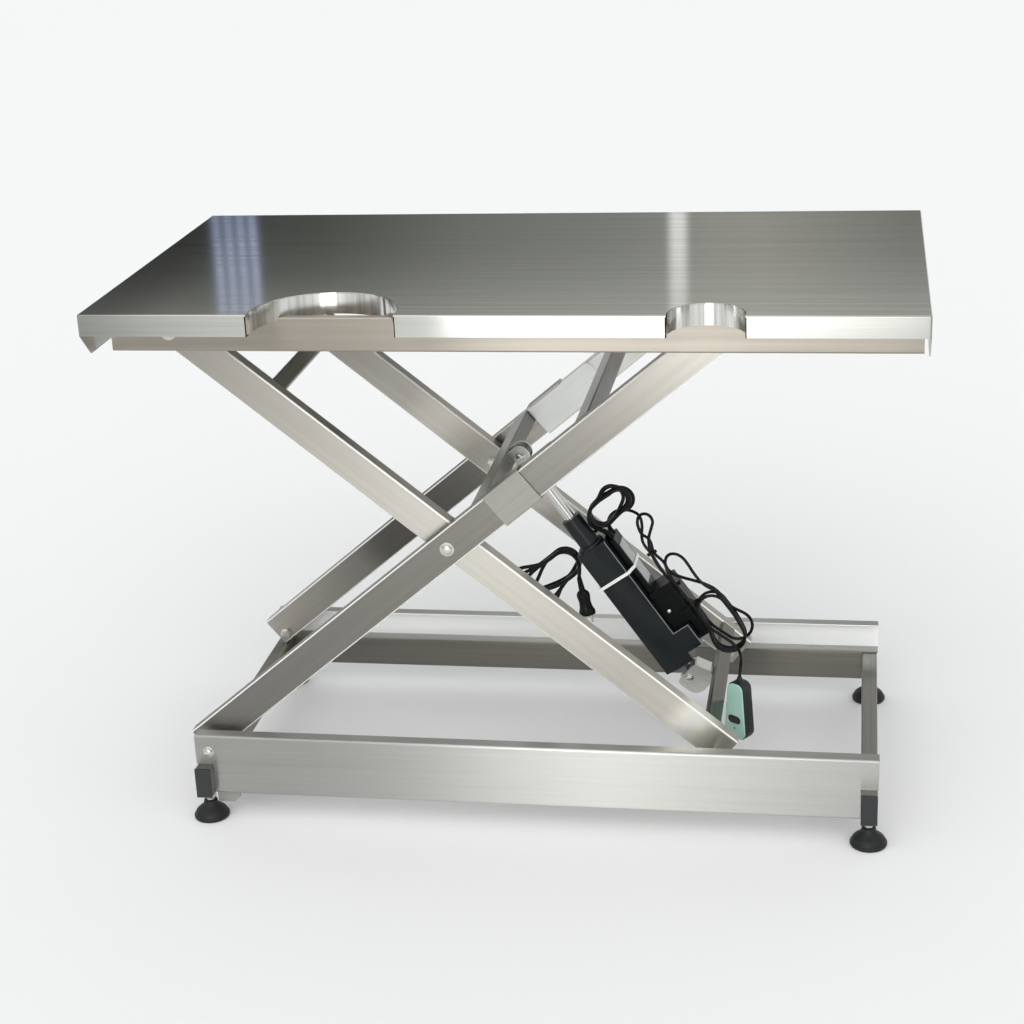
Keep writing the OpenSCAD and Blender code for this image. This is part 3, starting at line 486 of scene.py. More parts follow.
def tubeLoops(w, h, wall, radius):
    # the outside and the inside of a rectangular tube
    inside = max(radius - wall, 0.6)
    return [boxLoop(w, h, radius), boxLoop(w - 2 * wall, h - 2 * wall, inside)]


def cornerFaces(bm, index):
    # gives the rolled corners of a tube that lies along X the painted highlight finish
    bm.normal_update()
    for face in bm.faces:
        if abs(face.normal.y) > 0.2 and abs(face.normal.z) > 0.2:
            face.material_index = index


def armFrame(body, spec):
    # the outer pair rises to the right, the inner pair falls
    turn = radians(spec["angle"]) * (-1 if body == "outer_arms" else 1)
    return at(spec["centre"][0], 0, spec["centre"][1]) @ Matrix.Rotation(turn, 4, "Y")


def makeArms(spec):
    for body, key in (("outer_arms", "outer"), ("inner_arms", "inner")):
        for side, end in ((-1, "front"), (1, "back")):
            bm = bmesh.new()
            extrude(bm, tubeLoops(spec["thick"], spec["height"], spec["wall"], spec["radius"]),
                    -spec["half"], spec["half"])
            for face in bm.faces:
                # the outer face of a back arm has its own finish
                if side > 0 and face.calc_center_median().y > (spec["thick"] / 2 - 0.1) * mm:
                    face.material_index = 2
            cornerFaces(bm, 1)
            addPiece(f"{key}Arm{end.title()}", bm, body,
                     (steelArms[f"{key}_arm_{end}"], steelCornerPaintedHighlight, steelArmBack),
                     (f"{key}_arm_{end}",),
                     armFrame(body, spec) @ at(0, side * spec[key], 0))


makeArms(arms)

# turns what is drawn along X to lie across the table
acrossTable = Matrix(((0, 1, 0, 0), (1, 0, 0, 0), (0, 0, 1, 0), (0, 0, 0, 1)))

# cross tubes and beams: body, node, first and last place along the arm, low and high in the
# arm's frame, half the length
tubes = {
    "outerCrossTube": ("outer_arms", "outer_cross_tube", 275, 300, 1, 26, 202.2),
    "innerCrossTube": ("inner_arms", "inner_cross_tube", -362, -337, 1, 26, 173.2),
    "actuatorBeam": ("outer_arms", "actuator_beam", 66, 96, 3, 26, 202.2),
    "lowBeam": ("inner_arms", "inner_low_beam", 478, 503, 14, 26, 173.2),
}
tubeWall, tubeCorner = 1.5, 2.2
for name, (body, node, u0, u1, v0, v1, half) in tubes.items():
    bm = bmesh.new()
    extrude(bm, tubeLoops(u1 - u0, v1 - v0, tubeWall, tubeCorner), -half, half)
    addPiece(name, bm, body, steelTubeX, (node,),
             armFrame(body, arms) @ at((u0 + u1) / 2, 0, (v0 + v1) / 2) @ acrossTable)
print("arms and tubes made")

# The rails of the base are channels on a closed tube that stops short of the cross bars.
base = {"x0": -518, "x1": 545, "face": 259, "low": 46, "high": 146, "shelf": 98, "flange": 22,
        "shelfWidth": 26, "sheet": 2.5, "seat": 96.2, "bend": 4, "cutBack": 26.7,
        "crossbar": {"size": (25, 50, 275), "inset": 1.5, "wall": 1.5, "corner": 2.5}}


def makeBaseRails(spec):
    f, t, low, high, shelf = (spec[k] for k in ("face", "sheet", "low", "high", "shelf"))
    web = f - t
    lip = f - spec["flange"]
    edge = f - spec["shelfWidth"]
    r = spec["bend"]
    whole = [(-lip, high, 1), (-f, high, r), (-f, low, 3), (-edge, low, 3), (-edge, shelf, 3),
             (-web, shelf, 0.5), (-web, high - t, r - t), (-lip, high - t, 1)]
    hole = [(-web, low + t, 1.5), (-edge - t, low + t, 1.5), (-edge - t, shelf - t, 1.5),
            (-web, shelf - t, 1.5)]
    upper = [(-lip, high, 1), (-f, high, r), (-f, spec["seat"], 0), (-edge, spec["seat"], 0),
             (-edge, shelf, 0.5), (-web, shelf, 0.5), (-web, high - t, r - t),
             (-lip, high - t, 1)]
    cut0, cut1 = spec["x0"] + spec["cutBack"], spec["x1"] - spec["cutBack"]
    for side, end in ((1, "front"), (-1, "back")):
        bm = bmesh.new()
        for loops, x0, x1 in (([whole, hole], cut0, cut1), ([upper], spec["x0"], cut0),
                              ([upper], cut1, spec["x1"])):
            extrude(bm, [[(y * side, z) for y, z in roundCorners(loop, 22)] for loop in loops],
                    x0, x1)
        # inside the channel the web gets a pale copy of the steel, painted reflection, and the
        # tube below it a dark copy, painted shade
        for face in bm.faces:
            face.normal_update()
            middle = face.calc_center_median()
            if abs(face.normal.y) > 0.8 and abs(middle.y) < (f - 1) * mm:
                face.material_index = 1 if middle.z > shelf * mm else 2
            elif face.normal.z > 0.8 and abs(middle.z - shelf * mm) < mm:
                face.material_index = 1
        addPiece(f"baseRail{end.title()}", bm, "base", (steelRailX, steelPaintedBright, steelTubePaintedShade),
                 (f"base_{end}_rail",))
    bar = spec["crossbar"]
    w, h, half = bar["size"]
    for x, end in ((spec["x0"] + bar["inset"], "left"), (spec["x1"] - bar["inset"] - w, "right")):
        bm = bmesh.new()
        extrude(bm, tubeLoops(w, h, bar["wall"], bar["corner"]), -half, half)
        addPiece("crossBar" + end.title(), bm, "base", steelCross, (f"base_{end}_crossbar",),
                 at(x + w / 2, 0, low + h / 2) @ acrossTable)


makeBaseRails(base)
print("base made")

top = {"half": (600, 325), "high": 847.008, "sheet": 1.5, "rim": 32, "return": 12, "bend": 2.6,
       "flange": 68, "bevel": 36, "rail": (-584.5, 593.5), "railHigh": 820.508,
       "railHeight": 52, "railFace": 240, "railFlange": 12, "railSheet": 2.5,
       "notches": ((-243, 107, 126), (298, 54, 66))}


def ringAt(bm, hx, hy, z, radius):
    # a rectangle with rounded corners seen from above; hx and hy are half its sides
    points = []
    steps = 5
    for cx, cy, start in ((1, 1, 0), (-1, 1, 90), (-1, -1, 180), (1, -1, 270)):
        for k in range(steps + 1):
            a = radians(start + 90 * k / steps)
            points.append(vertex(bm, cx * (hx - radius) + radius * cos(a),
                                 cy * (hy - radius) + radius * sin(a), z))
    return points


def notchOutline(notch, edge, grow, beyond):
    # a cut-out seen from above: straight sides from the sheet's edge, then half a circle
    x, r, depth = notch
    y, front = -edge + depth - r, -edge - beyond
    r = r + grow
    steps = 60
    arc = [(x + r * cos(a), y + r * sin(a)) for a in (pi * k / steps for k in range(steps + 1))]
    return [(x + r, front)] + arc + [(x - r, front)]


def makeTopSheet(spec):
    hx, hy = spec["half"]
    high, t, b = spec["high"], spec["sheet"], spec["bend"]
    low = high - spec["rim"]
    bm = bmesh.new()
    rings = [ringAt(bm, hx - b + b * sin(a), hy - b + b * sin(a), high - b + b * cos(a),
                    0.1 + (b - 0.1) * sin(a)) for a in (radians(d) for d in range(0, 91, 15))]
    rings += [ringAt(bm, *ring) for ring in (
        (hx, hy, low, b), (hx - t, hy - spec["return"], low, 0.6),
        (hx - t, hy - spec["return"], low + t, 0.6), (hx - t, hy - t, low + t, 0.6),
        (hx - t, hy - t, high - t, 0.6))]
    capped(bm, rings)
    blank = newObject("topSheetBlank", meshOf("topSheetBlank", bm))
    cutters = []
    beyond = 20
    for notch in spec["notches"]:
        bm = bmesh.new()
        outline = notchOutline(notch, hy, 0, beyond)
        capped(bm, [[vertex(bm, px, py, z) for px, py in outline]
                    for z in (low - beyond, high + beyond)])
        cutters.append(newObject("notchTool", meshOf("notchTool", bm)))
        cut = blank.modifiers.new("notch", "BOOLEAN")
        cut.operation, cut.solver, cut.object = "DIFFERENCE", "EXACT", cutters[-1]
    bpy.context.view_layer.update()
    made = bpy.data.meshes.new_from_object(
        blank.evaluated_get(bpy.context.evaluated_depsgraph_get()))
    bm = bmesh.new()
    bm.from_mesh(made)
    for scrap in [blank] + cutters:
        bpy.data.objects.remove(scrap)
    # the deeper end flanges carry on below the rims
    for side in (-1, 1):
        y, bottom, bevel = hy - t, high - spec["flange"], spec["bevel"]
        outline = roundCorners([(-y, low, 0), (-y + bevel, bottom, 4), (y - bevel, bottom, 4),
                                (y, low, 0)])
        capped(bm, [[vertex(bm, side * x, py, z) for py, z in outline] for x in (hx, hx - t)])
    for face in bm.faces:
        face.normal_update()
        face.material_index = (0 if abs(face.normal.z) > 0.7
                               else 2 if abs(face.normal.x) > 0.7 else 1)
    addPiece("topSheet", bm, "tabletop", (steelTop, steelRim, steelEnd), ("top_sheet",),
             sharp=32)


def makeTopRails(spec):
    f, t, high = spec["railFace"], spec["railSheet"], spec["railHigh"]
    low = high - spec["railHeight"]
    lip = f - spec["railFlange"]
    loop = [(-lip, high, 0.8), (-f, high, 3.5), (-f, low, 3.5), (-lip, low, 0.8),
            (-lip, low + t, 0.8), (-f + t, low + t, 1), (-f + t, high - t, 1),
            (-lip, high - t, 0.8)]
    for side, end in ((1, "front"), (-1, "back")):
        bm = bmesh.new()
        extrude(bm, [[(y * side, z) for y, z in roundCorners(loop, 22)]], *spec["rail"])
        addPiece(f"topRail{end.title()}", bm, "tabletop", steelTopRail, (f"top_{end}_rail",))


def makeNotchWalls(spec):
    # a strip welded round each cut-out; it is shallower where the side rail passes under it
    hy, t = spec["half"][1], spec["sheet"]
    high, rim = spec["high"] - t - 0.1, spec["high"] - spec["rim"]
    rail = spec["railHigh"] + 0.2
    near, far = -spec["railFace"] - 2.5, -spec["railFace"] + spec["railFlange"] + 3
    bm = bmesh.new()
    for notch in spec["notches"]:
        inner, outer = (notchOutline(notch, hy, grow, 0) for grow in (0, t))
        rings = []
        for (ix, iy), (ox, oy) in zip(inner, outer):
            low = rail if near < iy < far else rim
            rings.append([vertex(bm, *corner) for corner in (
                (ix, iy, high), (ix, iy, low), (ox, oy, low), (ox, oy, high))])
        capped(bm, rings)
    addPiece("notchWalls", bm, "tabletop", steelNotch, ("notch_walls",), sharp=32)


makeTopSheet(top)
makeNotchWalls(top)
makeTopRails(top)
softened("top_bearers", "topBearers", "tabletop", steelRailY, 1.5)
print("tabletop made")

# plates, clevis and covers keep the CAD shape with their edges broken: node, body, finish
# and the width of the broken edge in mm
soften = {
    "lug_plates": ("base", steelRailX, 0.6),
    "crossbar_plugs": ("base", capPlastic, 1.0),
    "control_box": ("actuator", motorPlastic, 1.2),
    "guide_collar": ("actuator", casePlastic, 0.8),
    "rear_clevis": ("actuator", castZinc, 0.8),
    "rod_end": ("rod", casePlastic, 0.8),
}
for node, (body, finish, width) in soften.items():
    first, *rest = node.split("_")
    softened(node, first + "".join(w.title() for w in rest), body, finish, width)
print("plates and covers softened")

# saddles wrap each outer arm and keep their brushing along it; the stiffener is a flat plate
# on the arm's inner face
saddle = {"u": (98, 168), "face": 227.6, "inner": 202.4, "half": 26.2, "thick": 3,
          "stiffener": {"u": (98, 232), "y": (199.4, 202.2), "half": 26}}


def wrapLoop(face, inner, half, thick, side):
    # the saddle bent round one arm, open towards the middle of the table
    corners = [(-inner, half + thick, 0.8), (-face - thick, half + thick, 3.4),
               (-face - thick, -half - thick, 3.4), (-inner, -half - thick, 0.8),
               (-inner, -half, 0.5), (-face, -half, 0.6), (-face, half, 0.6),
               (-inner, half, 0.5)]
    return [(-side * y, z) for y, z in roundCorners(corners, 22)]


def makeSaddles(spec):
    bm = bmesh.new()
    stiff = spec["stiffener"]
    (u0, u1), half = stiff["u"], stiff["half"]
    outline = roundCorners([(u0, -half, 3), (u1, -half, 8), (u1, half, 8), (u0, half, 3)])
    for side in (-1, 1):
        extrude(bm, [wrapLoop(spec["face"], spec["inner"], spec["half"], spec["thick"], side)],
                *spec["u"])
        plate(bm, outline, *sorted(side * y for y in stiff["y"]))
    for face in bm.faces:
        # the back stiffener gets the pale copy of the steel: painted reflection
        face.material_index = int(0 < face.calc_center_median().y < spec["inner"] * mm)
    addPiece("beamSaddles", bm, "outer_arms", (steelPlateX, steelPaintedBright), ("beam_saddles",),
             armFrame("outer_arms", arms))


makeSaddles(saddle)

# fasteners: where each is, the face its head lies on, its tip, and radii in mm
bolts = {
    "basePivotBolts": {"body": "base", "node": "base_pivot_bolts", "x": -496.4, "z": 118.3,
                       "face": 259, "tip": 192.4, "nut": 202.2, "spacer": (256.3, 227.6),
                       "shank": 6, "head": 6.6, "washer": 8.8},
    "topPivotBolts": {"body": "tabletop", "node": "top_pivot_bolts", "x": -496.4, "z": 797.71,
                      "face": 240, "tip": 163.4, "nut": 173.2, "spacer": (237.3, 198.6),
                      "shank": 6, "head": 9.2, "washer": 12},
    "centrePivotBolts": {"body": "outer_arms", "node": "centre_pivot_bolts", "x": -100.06,
                         "z": 458.0, "face": 227.4, "tip": 163.4, "nut": 173.2,
                         "spacer": (202.2, 198.6), "shank": 6, "head": 8.2, "washer": 11.2},
}
# what they share: the spacer's radius, its chamfer and the shank's, the nut's radius and height
boltParts = {"spacerRadius": 11, "chamfer": 0.5, "shankTip": 0.8, "nut": (9, 7.8)}


def outwards(x, y, z, side):
    # local Z points out of the side that the head lies on
    return at(x, y, z) @ Matrix.Rotation(side * -pi / 2, 4, "X")


def domedHead(bm, place, head, washer, index=0):
    # a domed head on its washer: head and washer are their radii
    lathe(bm, ((0, -0.4), (washer, -0.4), (washer, 1.0), (washer - 0.5, 1.5), (head + 0.2, 1.5),
               (head + 0.2, 1.7), (head, 1.9), (head, 3.0), (head * 0.95, 3.9),
               (head * 0.82, 4.8), (head * 0.6, 5.5), (head * 0.32, 5.85), (0, 5.95)),
          36, place, index)


def hexNut(bm, place, radius, height, index=0):
    # a nut with both its ends chamfered
    lathe(bm, ((0, 0), (radius * 0.9, 0), (radius, 0.8), (radius, height - 0.8),
               (radius * 0.9, height), (0, height)), 6, place, index)


def makeBolts(spec, sizes, name):
    bm = bmesh.new()
    for side in (-1, 1):
        place = outwards(spec["x"], side * spec["face"], spec["z"], side)
        r, tip, depth = spec["shank"], sizes["shankTip"], spec["face"] - spec["tip"]
        domedHead(bm, place, spec["head"], spec["washer"])
        lathe(bm, ((0, -depth), (r - tip, -depth), (r, -depth + tip), (r, -0.2), (0, -0.2)), 28,
              place)
        h0, h1 = (-(spec["face"] - y) for y in spec["spacer"])
        r, edge = sizes["spacerRadius"], sizes["chamfer"]
        lathe(bm, ((0, h1), (r - edge, h1), (r, h1 + edge), (r, h0 - edge), (r - edge, h0),
                   (0, h0)), 36, place)
        wide, height = sizes["nut"]
        hexNut(bm, place @ at(0, 0, -(spec["face"] - spec["nut"] + height)), wide, height)
    addPiece(name, bm, spec["body"], boltZinc, (spec["node"],), sharp=32)


for name, spec in bolts.items():
    makeBolts(spec, boltParts, name)
print("saddles and pivot bolts made")

# brackets at the two ends of the actuator, drawn in their arm's frame: an ear's inner and outer
# face from the middle, its outline, the place of its pin, and the bridge between the ears
brackets = {
    "rodBracket": {"body": "outer_arms", "node": "rod_bracket", "ear": (11.5, 15.5),
                   "outline": ((96.2, -9, 0.3), (124, -9, 13.8), (124, 23, 13.8),
                               (96.2, 23, 0.3)),
                   "pin": (110, 7), "shank": 5.9, "head": 5.6, "washer": 7.6, "plate": None,
                   "nut": (8.6, 7.4)},
    "actuatorBracket": {"body": "inner_arms", "node": "actuator_bracket", "ear": (11.5, 16.5),
                        "outline": ((446, -34, 6), (488, -34, 20), (488, 13.8, 1),
                                    (474, 13.8, 1), (446, 5, 4)),
                        "pin": (456, -17), "shank": 0, "head": 7.4, "washer": 8.4,
                        "plate": ((449, 5.9, 0), (475, 13.6, 0), (475, 17.6, 1),
                                  (449, 9.9, 1)), "nut": None},
}


def makeBracket(spec, name):
    bm = bmesh.new()
    outline = roundCorners(spec["outline"], 12)
    near, far = spec["ear"]
    for side in (-1, 1):
        plate(bm, outline, *sorted((side * near, side * far)))
    if spec["plate"]:
        plate(bm, roundCorners(spec["plate"]), -far, far)
    softenEdges(bm, 0.5, 2, 50)
    u, v = spec["pin"]
    shank = spec["shank"]
    for side in (-1, 1):
        place = outwards(u, side * far, v, side)
        if side == 1 and spec["nut"]:
            hexNut(bm, place @ at(0, 0, 0.1), *spec["nut"], 1)
        else:
            domedHead(bm, place, spec["head"], spec["washer"], 1)
    if shank:
        lathe(bm, ((0, 0), (shank, 0), (shank, 2 * far), (0, 2 * far)), 24,
              outwards(u, -far, v, 1), 1)
    addPiece(name, bm, spec["body"], (steelBracket, boltZinc), (spec["node"],),
             armFrame(spec["body"], arms), sharp=32)


for name, spec in brackets.items():
    makeBracket(spec, name)
print("actuator brackets made")

# levelling feet: a moulded bell on a threaded stem with its locknut
feet = {"x": (-504, 531), "y": 251, "stem": 6, "stemTop": 74, "locknut": (34.7, 45.7, 10),
        "pitch": 1.75, "groove": 0.75, "chamfer": 0.7, "stemBottom": 30.2,
        "bell": ((0, 0), (25.6, 0), (27.3, 0.7), (28, 2.2), (28, 5.4), (27.4, 6.4),
                 (26.4, 6.9), (26.2, 7.5), (25.8, 9.0), (24.4, 11.8), (21.8, 14.6),
                 (18.2, 17.3), (14.8, 19.8), (12.5, 22.5), (11.2, 25.4), (10.9, 28.4),
                 (10.2, 29.7), (9.0, 30.0), (0, 30.0))}


def makeFeet(spec):
    for corner, x, y in (("fl", 0, -1), ("fr", 1, -1), ("bl", 0, 1), ("br", 1, 1)):
        place = at(spec["x"][x], y * spec["y"], 0)
        bm = bmesh.new()
        lathe(bm, spec["bell"], 56, place)
        addPiece("footBell" + corner.title(), bm, "foot_" + corner, padRubber,
                 ("foot_pad_" + corner,), sharp=30)
        bm = bmesh.new()
        r, low, high, pitch = (spec[k] for k in ("stem", "stemBottom", "stemTop", "pitch"))
        end = r - spec["chamfer"]
        thread = [(0, low), (end, low)]
        h = low + 0.4
        while h < high - pitch:
            thread += [(r, h), (r - spec["groove"], h + pitch / 2)]
            h += pitch
        thread += [(end, high), (0, high)]
        lathe(bm, thread, 28, place)
        low, high, wide = spec["locknut"]
        hexNut(bm, place @ at(0, 0, low), wide, high - low)
        addPiece("footStem" + corner.title(), bm, "foot_" + corner, boltZinc,
                 ("foot_stem_" + corner,), sharp=30)


makeFeet(feet)
print("feet made")

# The actuator's case in its own frame: its front is at y = face and it reaches from t = -deep to
# t = deep. The raised frame is its ends along s and t and its width; screws are at (s, t).
actuator = {"s": (24, 271), "seam": 198, "gear": (40, 80.2, 55.5), "motor": (44, 153, 76),
            "bore": 12, "crease": -5, "bead": (1.3, 0.5), "face": -20, "deep": 27,
            "frame": (244, 259, 4, 24, 0.8), "screws": ((264, 22), (264, 2), (30, 20), (48, 47))}


def shellLoop(spec, grow=0.0):
    # across the spindle housing: its front is creased and falls back on the left
    face, deep = spec["face"] - grow, spec["deep"] + grow
    return roundCorners([(-14.2 - grow, -deep, 2.5), (face, spec["crease"], 0.0),
                         (face, deep, 1.4), (22 + grow, deep, 4), (22 + grow, -deep, 4)], 15)


def makeShell(spec):
    s0, s1 = spec["s"]
    face, deep, seam = spec["face"], spec["deep"], spec["seam"]
    bm = bmesh.new()
    # solid at the foot, then bored for the rod, with a groove where the two halves meet
    bore = circle(spec["bore"], 32)
    floor = s0 + 8
    gap, sunk = 0.5, 0.9
    extrude(bm, [shellLoop(spec, -0.05)], s0, floor)
    extrude(bm, [shellLoop(spec), bore], floor - 7, seam - gap)
    extrude(bm, [shellLoop(spec), bore], seam + gap, s1)
    softenEdges(bm, 0.9, 2, 60)
    extrude(bm, [shellLoop(spec, -sunk), bore], seam - 2, seam + 2)
    # gear case: the same front, carried out sideways at the foot of the housing
    g0, g1, wide = spec["gear"]
    step = bmesh.new()
    plate(step, roundCorners([(g0, 26, 0), (g0, wide, 2.5), (g1, wide, 1.5), (g1, 26, 0)], 20),
          face, 46)
    softenEdges(step, 1.0, 2, 60)
    joined = meshOf("gearStep", step)
    bm.from_mesh(joined)
    bpy.data.meshes.remove(joined)
    # raised frame at the top of the front and the screws at its corners
    for s, t in spec["screws"]:
        lathe(bm, ((0, 0), (2.2, 0), (2.2, 0.35), (1.9, 0.5), (0, 0.5)), 20,
              outwards(s, face + 0.1, t, -1))
    f0, f1, t0, t1, w = spec["frame"]
    for low, high in (((f0, t0), (f1, t0 + w)), ((f0, t1 - w), (f1, t1)),
                      ((f0, t0), (f0 + w, t1)), ((f1 - w, t0), (f1, t1))):
        block(bm, (low[0], face - 0.35, low[1]), (high[0], face + 0.2, high[1]))
    # the bead where the two halves of the case meet; its lighter grey is a painted highlight along
    # the edge
    w, proud = spec["bead"]
    path = [(s1 - 1, deep), (g1, deep), (g1, wide), (g0 + 1, wide)]
    inner = [(s1 - 1, deep - w), (g1 - w, deep - w), (g1 - w, wide - w), (g0 + 1, wide - w)]
    for corners in zip(path, path[1:], inner[1:], inner):
        plate(bm, corners, face - proud, face + 0.3, 1)
    addPiece("actuatorShell", bm, "actuator", (casePlastic, edgePaintedHighlight),
             ("actuator_housing", "gear_case"), actuatorMatrix, sharp=28)


def motorLoop(low, out, radii, y0=-8, y1=46):
    # across the motor's cover: square where it meets the case and rounded outside
    return [roundCorners([(y0, low, 1), (y0, out, radii[0]), (y1, out, radii[1]), (y1, low, 1)],
                         12)]


def makeMotor(spec):
    g1, wide = spec["gear"][1:]
    m0, m1, out = spec["motor"]
    low = spec["deep"] + 0.4
    bm = bmesh.new()
    extrude(bm, motorLoop(low, out, (9, 14)), g1 + 0.6, m1)
    extrude(bm, motorLoop(wide + 0.3, out - 3, (7, 9), -2, 44), m0, g1 + 0.4)
    softenEdges(bm, 1.8, 3, 60)
    # end cap with its ring, and a bright screw on the front
    extrude(bm, motorLoop(low, out + 0.6, (9, 14), -8.6, 46.6), m1 - 16, m1 - 13.5)
    lathe(bm, ((0, 0), (3.4, 0), (3.4, 1.0), (2.8, 1.8), (1.2, 2.2), (0, 2.2)), 24,
          outwards(112, -7.9, 40, -1), 1)
    addPiece("motorCover", bm, "actuator", (motorPlastic, boltZinc), ("motor_housing",),
             actuatorMatrix, sharp=28)


makeShell(actuator)
makeMotor(actuator)


def tubeAlong(bm, points, radii):
    # a tapering tube along a route of [s, y, t] points
    path = [Vector(p) for p in points]
    up = Vector((0, 1, 0))
    rings = []
    for i, (p, r) in enumerate(zip(path, radii)):
        ahead = (path[min(i + 1, len(path) - 1)] - path[max(i - 1, 0)]).normalized()
        right = ahead.cross(up).normalized()
        lift = right.cross(ahead)
        rings.append([bm.verts.new((p + r * (x * right + y * lift)) * mm)
                      for x, y in circle(1, 20)])
    capped(bm, rings)


def along(points, share):
    # a place part of the way along a route
    spans = [math.dist(a, b) for a, b in zip(points, points[1:])]
    left = share * sum(spans)
    for a, b, span in zip(points, points[1:], spans):
        if left <= span:
            return tuple(p + (q - p) * left / span for p, q in zip(a, b))
        left -= span
    return points[-1]


def makeRelief(name, route, reach, wide, thin):
    # a ribbed sleeve where a cord leaves its gland, tapering onto the cord
    total = sum(math.dist(a, b) for a, b in zip(route, route[1:]))
    count, rib = 27, 0.45  # every third ring but the last is drawn in
    points = [along(route, reach * i / (count - 1) / total) for i in range(count)]
    radii = [wide + (thin - wide) * i / (count - 1) - (rib if i % 3 == 2 and i < 24 else 0)
             for i in range(count)]
    bm = bmesh.new()
    tubeAlong(bm, points, radii)
    addPiece(name, bm, "actuator", motorPlastic, (), actuatorMatrix, sharp=50)


def facing(place, way):
    # a frame at a place on the actuator, its Z along way and its Y as near the table's as can be
    side = way.cross(Vector((0, 1, 0))).normalized()
    turn = Matrix((side, side.cross(way), way)).transposed()
    return Matrix.Translation(Vector(place) * mm) @ turn.to_4x4()


def makeTie(name, spec):
    # a nylon tie pulled round a bundle: band, head and cut tail
    place = facing(spec["at"], Vector(spec["ahead"]).normalized())
    r, half, band = spec["radius"], spec["width"] / 2, 1.1
    bm = bmesh.new()
    loops = [[bm.verts.new(place @ Vector((x * mm, y * mm, h * mm))) for x, y in circle(ring, 32)]
             for ring, h in ((r, -half), (r + band, -half), (r + band, half), (r, half))]
    stitch(bm, loops + [loops[0]])
    block(bm, (-3.2, r + 0.4, -half - 0.7), (2.8, r + 4.4, half + 0.7), place)
    block(bm, (2.6, r + 1.4, -half + 0.4), (2.6 + spec["tail"], r + 2.5, half - 0.4), place)
    softenEdges(bm, 0.3, 2, 60)
    addPiece(name, bm, "actuator", motorPlastic, (), actuatorMatrix, sharp=40)


mainsPlug = {"root": (237, 0, -50.5), "tip": (164, 0, -82.5), "pins": 5}


def makePlug(spec):
    # moulded plug: ribbed neck, waisted grip, flange and two pins
    way = Vector(spec["tip"]) - Vector(spec["root"])
    length = way.length
    place = facing(spec["root"], way.normalized())
    bm = bmesh.new()
    neck = [(0, 0.2), (3.6, 0.2)]
    for k in range(8):
        neck += [(3.9 + 0.2 * k, 1 + 3 * k), (3.9 + 0.2 * k, 2.8 + 3 * k),
                 (3.4 + 0.2 * k, 3.0 + 3 * k), (3.4 + 0.2 * k, 3.8 + 3 * k)]
    neck += [(5.6, 25), (0, 25)]
    lathe(bm, neck, 24, place)
    grip = [(0, 23), (6.2, 23.4), (8.4, 26), (9.8, 30), (9.4, 36), (8.6, 42),
            (9.2, length - 30), (10.6, length - 24), (11.8, length - 22), (12, length - 21),
            (12, length - 15.4), (11.4, length - 14.6), (0, length - 14.6)]
    lathe(bm, grip, 36, place @ Matrix.Diagonal((1.12, 0.86, 1.0, 1.0)))
    for x in (-spec["pins"], spec["pins"]):
        lathe(bm, ((0, length - 15), (2, length - 15), (2, length - 1.2), (1.3, length),
                   (0, length)), 20, place @ at(x, 0, 0), 1)
    return addPiece("mainsPlugBody", bm, "actuator", (cordSheath, boltZinc), ("mains_plug",),
                    actuatorMatrix, sharp=35)


plug = makePlug(mainsPlug)
print("actuator made")

# The hand control: a rubber shell with a hard face set in it, each built of layers that are
# (how far the outline stands out, depth below the front or the back). The neck, which the cord
# comes out of, is (radius, height above the top).
handControl = {"place": (327.98, -92, 142.25), "turn": -35, "length": 97, "wide": 45,
               "narrow": 30, "thick": 27, "corners": (14, 13), "rocker": (-14, 22, 11),
               "lamp": -29,
               "front": ((-1.6, 3.2), (-0.5, 3.4), (0, 4.2), (0, 9), (-0.5, 9.3), (-0.5, 10),
                         (0, 10.3)),
               "back": ((0, 6), (-0.7, 3.4), (-2.4, 1.2), (-4.6, 0.2), (-6.5, 0)),
               "face": ((-1.7, 3), (-1.5, 2.6), (-1.5, 1.0), (-1.9, 0.35), (-2.6, 0)),
               "neck": ((0, -3), (5.4, -3), (5.4, 0.6), (4.9, 1.2), (4.9, 2.2), (4.5, 2.6),
                        (4.5, 3.8), (4.0, 4.2), (4.0, 5.6), (3.4, 6.6), (2.9, 7), (0, 7))}


def slabOutline(spec, grow):
    # the hand control seen from the front, wide at the foot and narrow at the neck
    low, high = -spec["length"] / 2 - grow, spec["length"] / 2 + grow
    a, b = spec["wide"] / 2 + grow, spec["narrow"] / 2 + grow
    lowRound, topRound = (r + grow for r in spec["corners"])
    return roundCorners([(-a, low, lowRound), (a, low, lowRound), (b, high, topRound),
                         (-b, high, topRound)], 10)


def slabShell(bm, spec, layers):
    capped(bm, [[vertex(bm, x, y, z) for x, z in slabOutline(spec, grow)] for grow, y in layers])


def stadium(half, radius, z):
    # two half circles joined by straight sides
    points = []
    for cx, start in ((half, -90), (-half, 90)):
        for a in (radians(start + 15 * k) for k in range(13)):
            points.append((cx + radius * cos(a), z + radius * sin(a)))
    return points


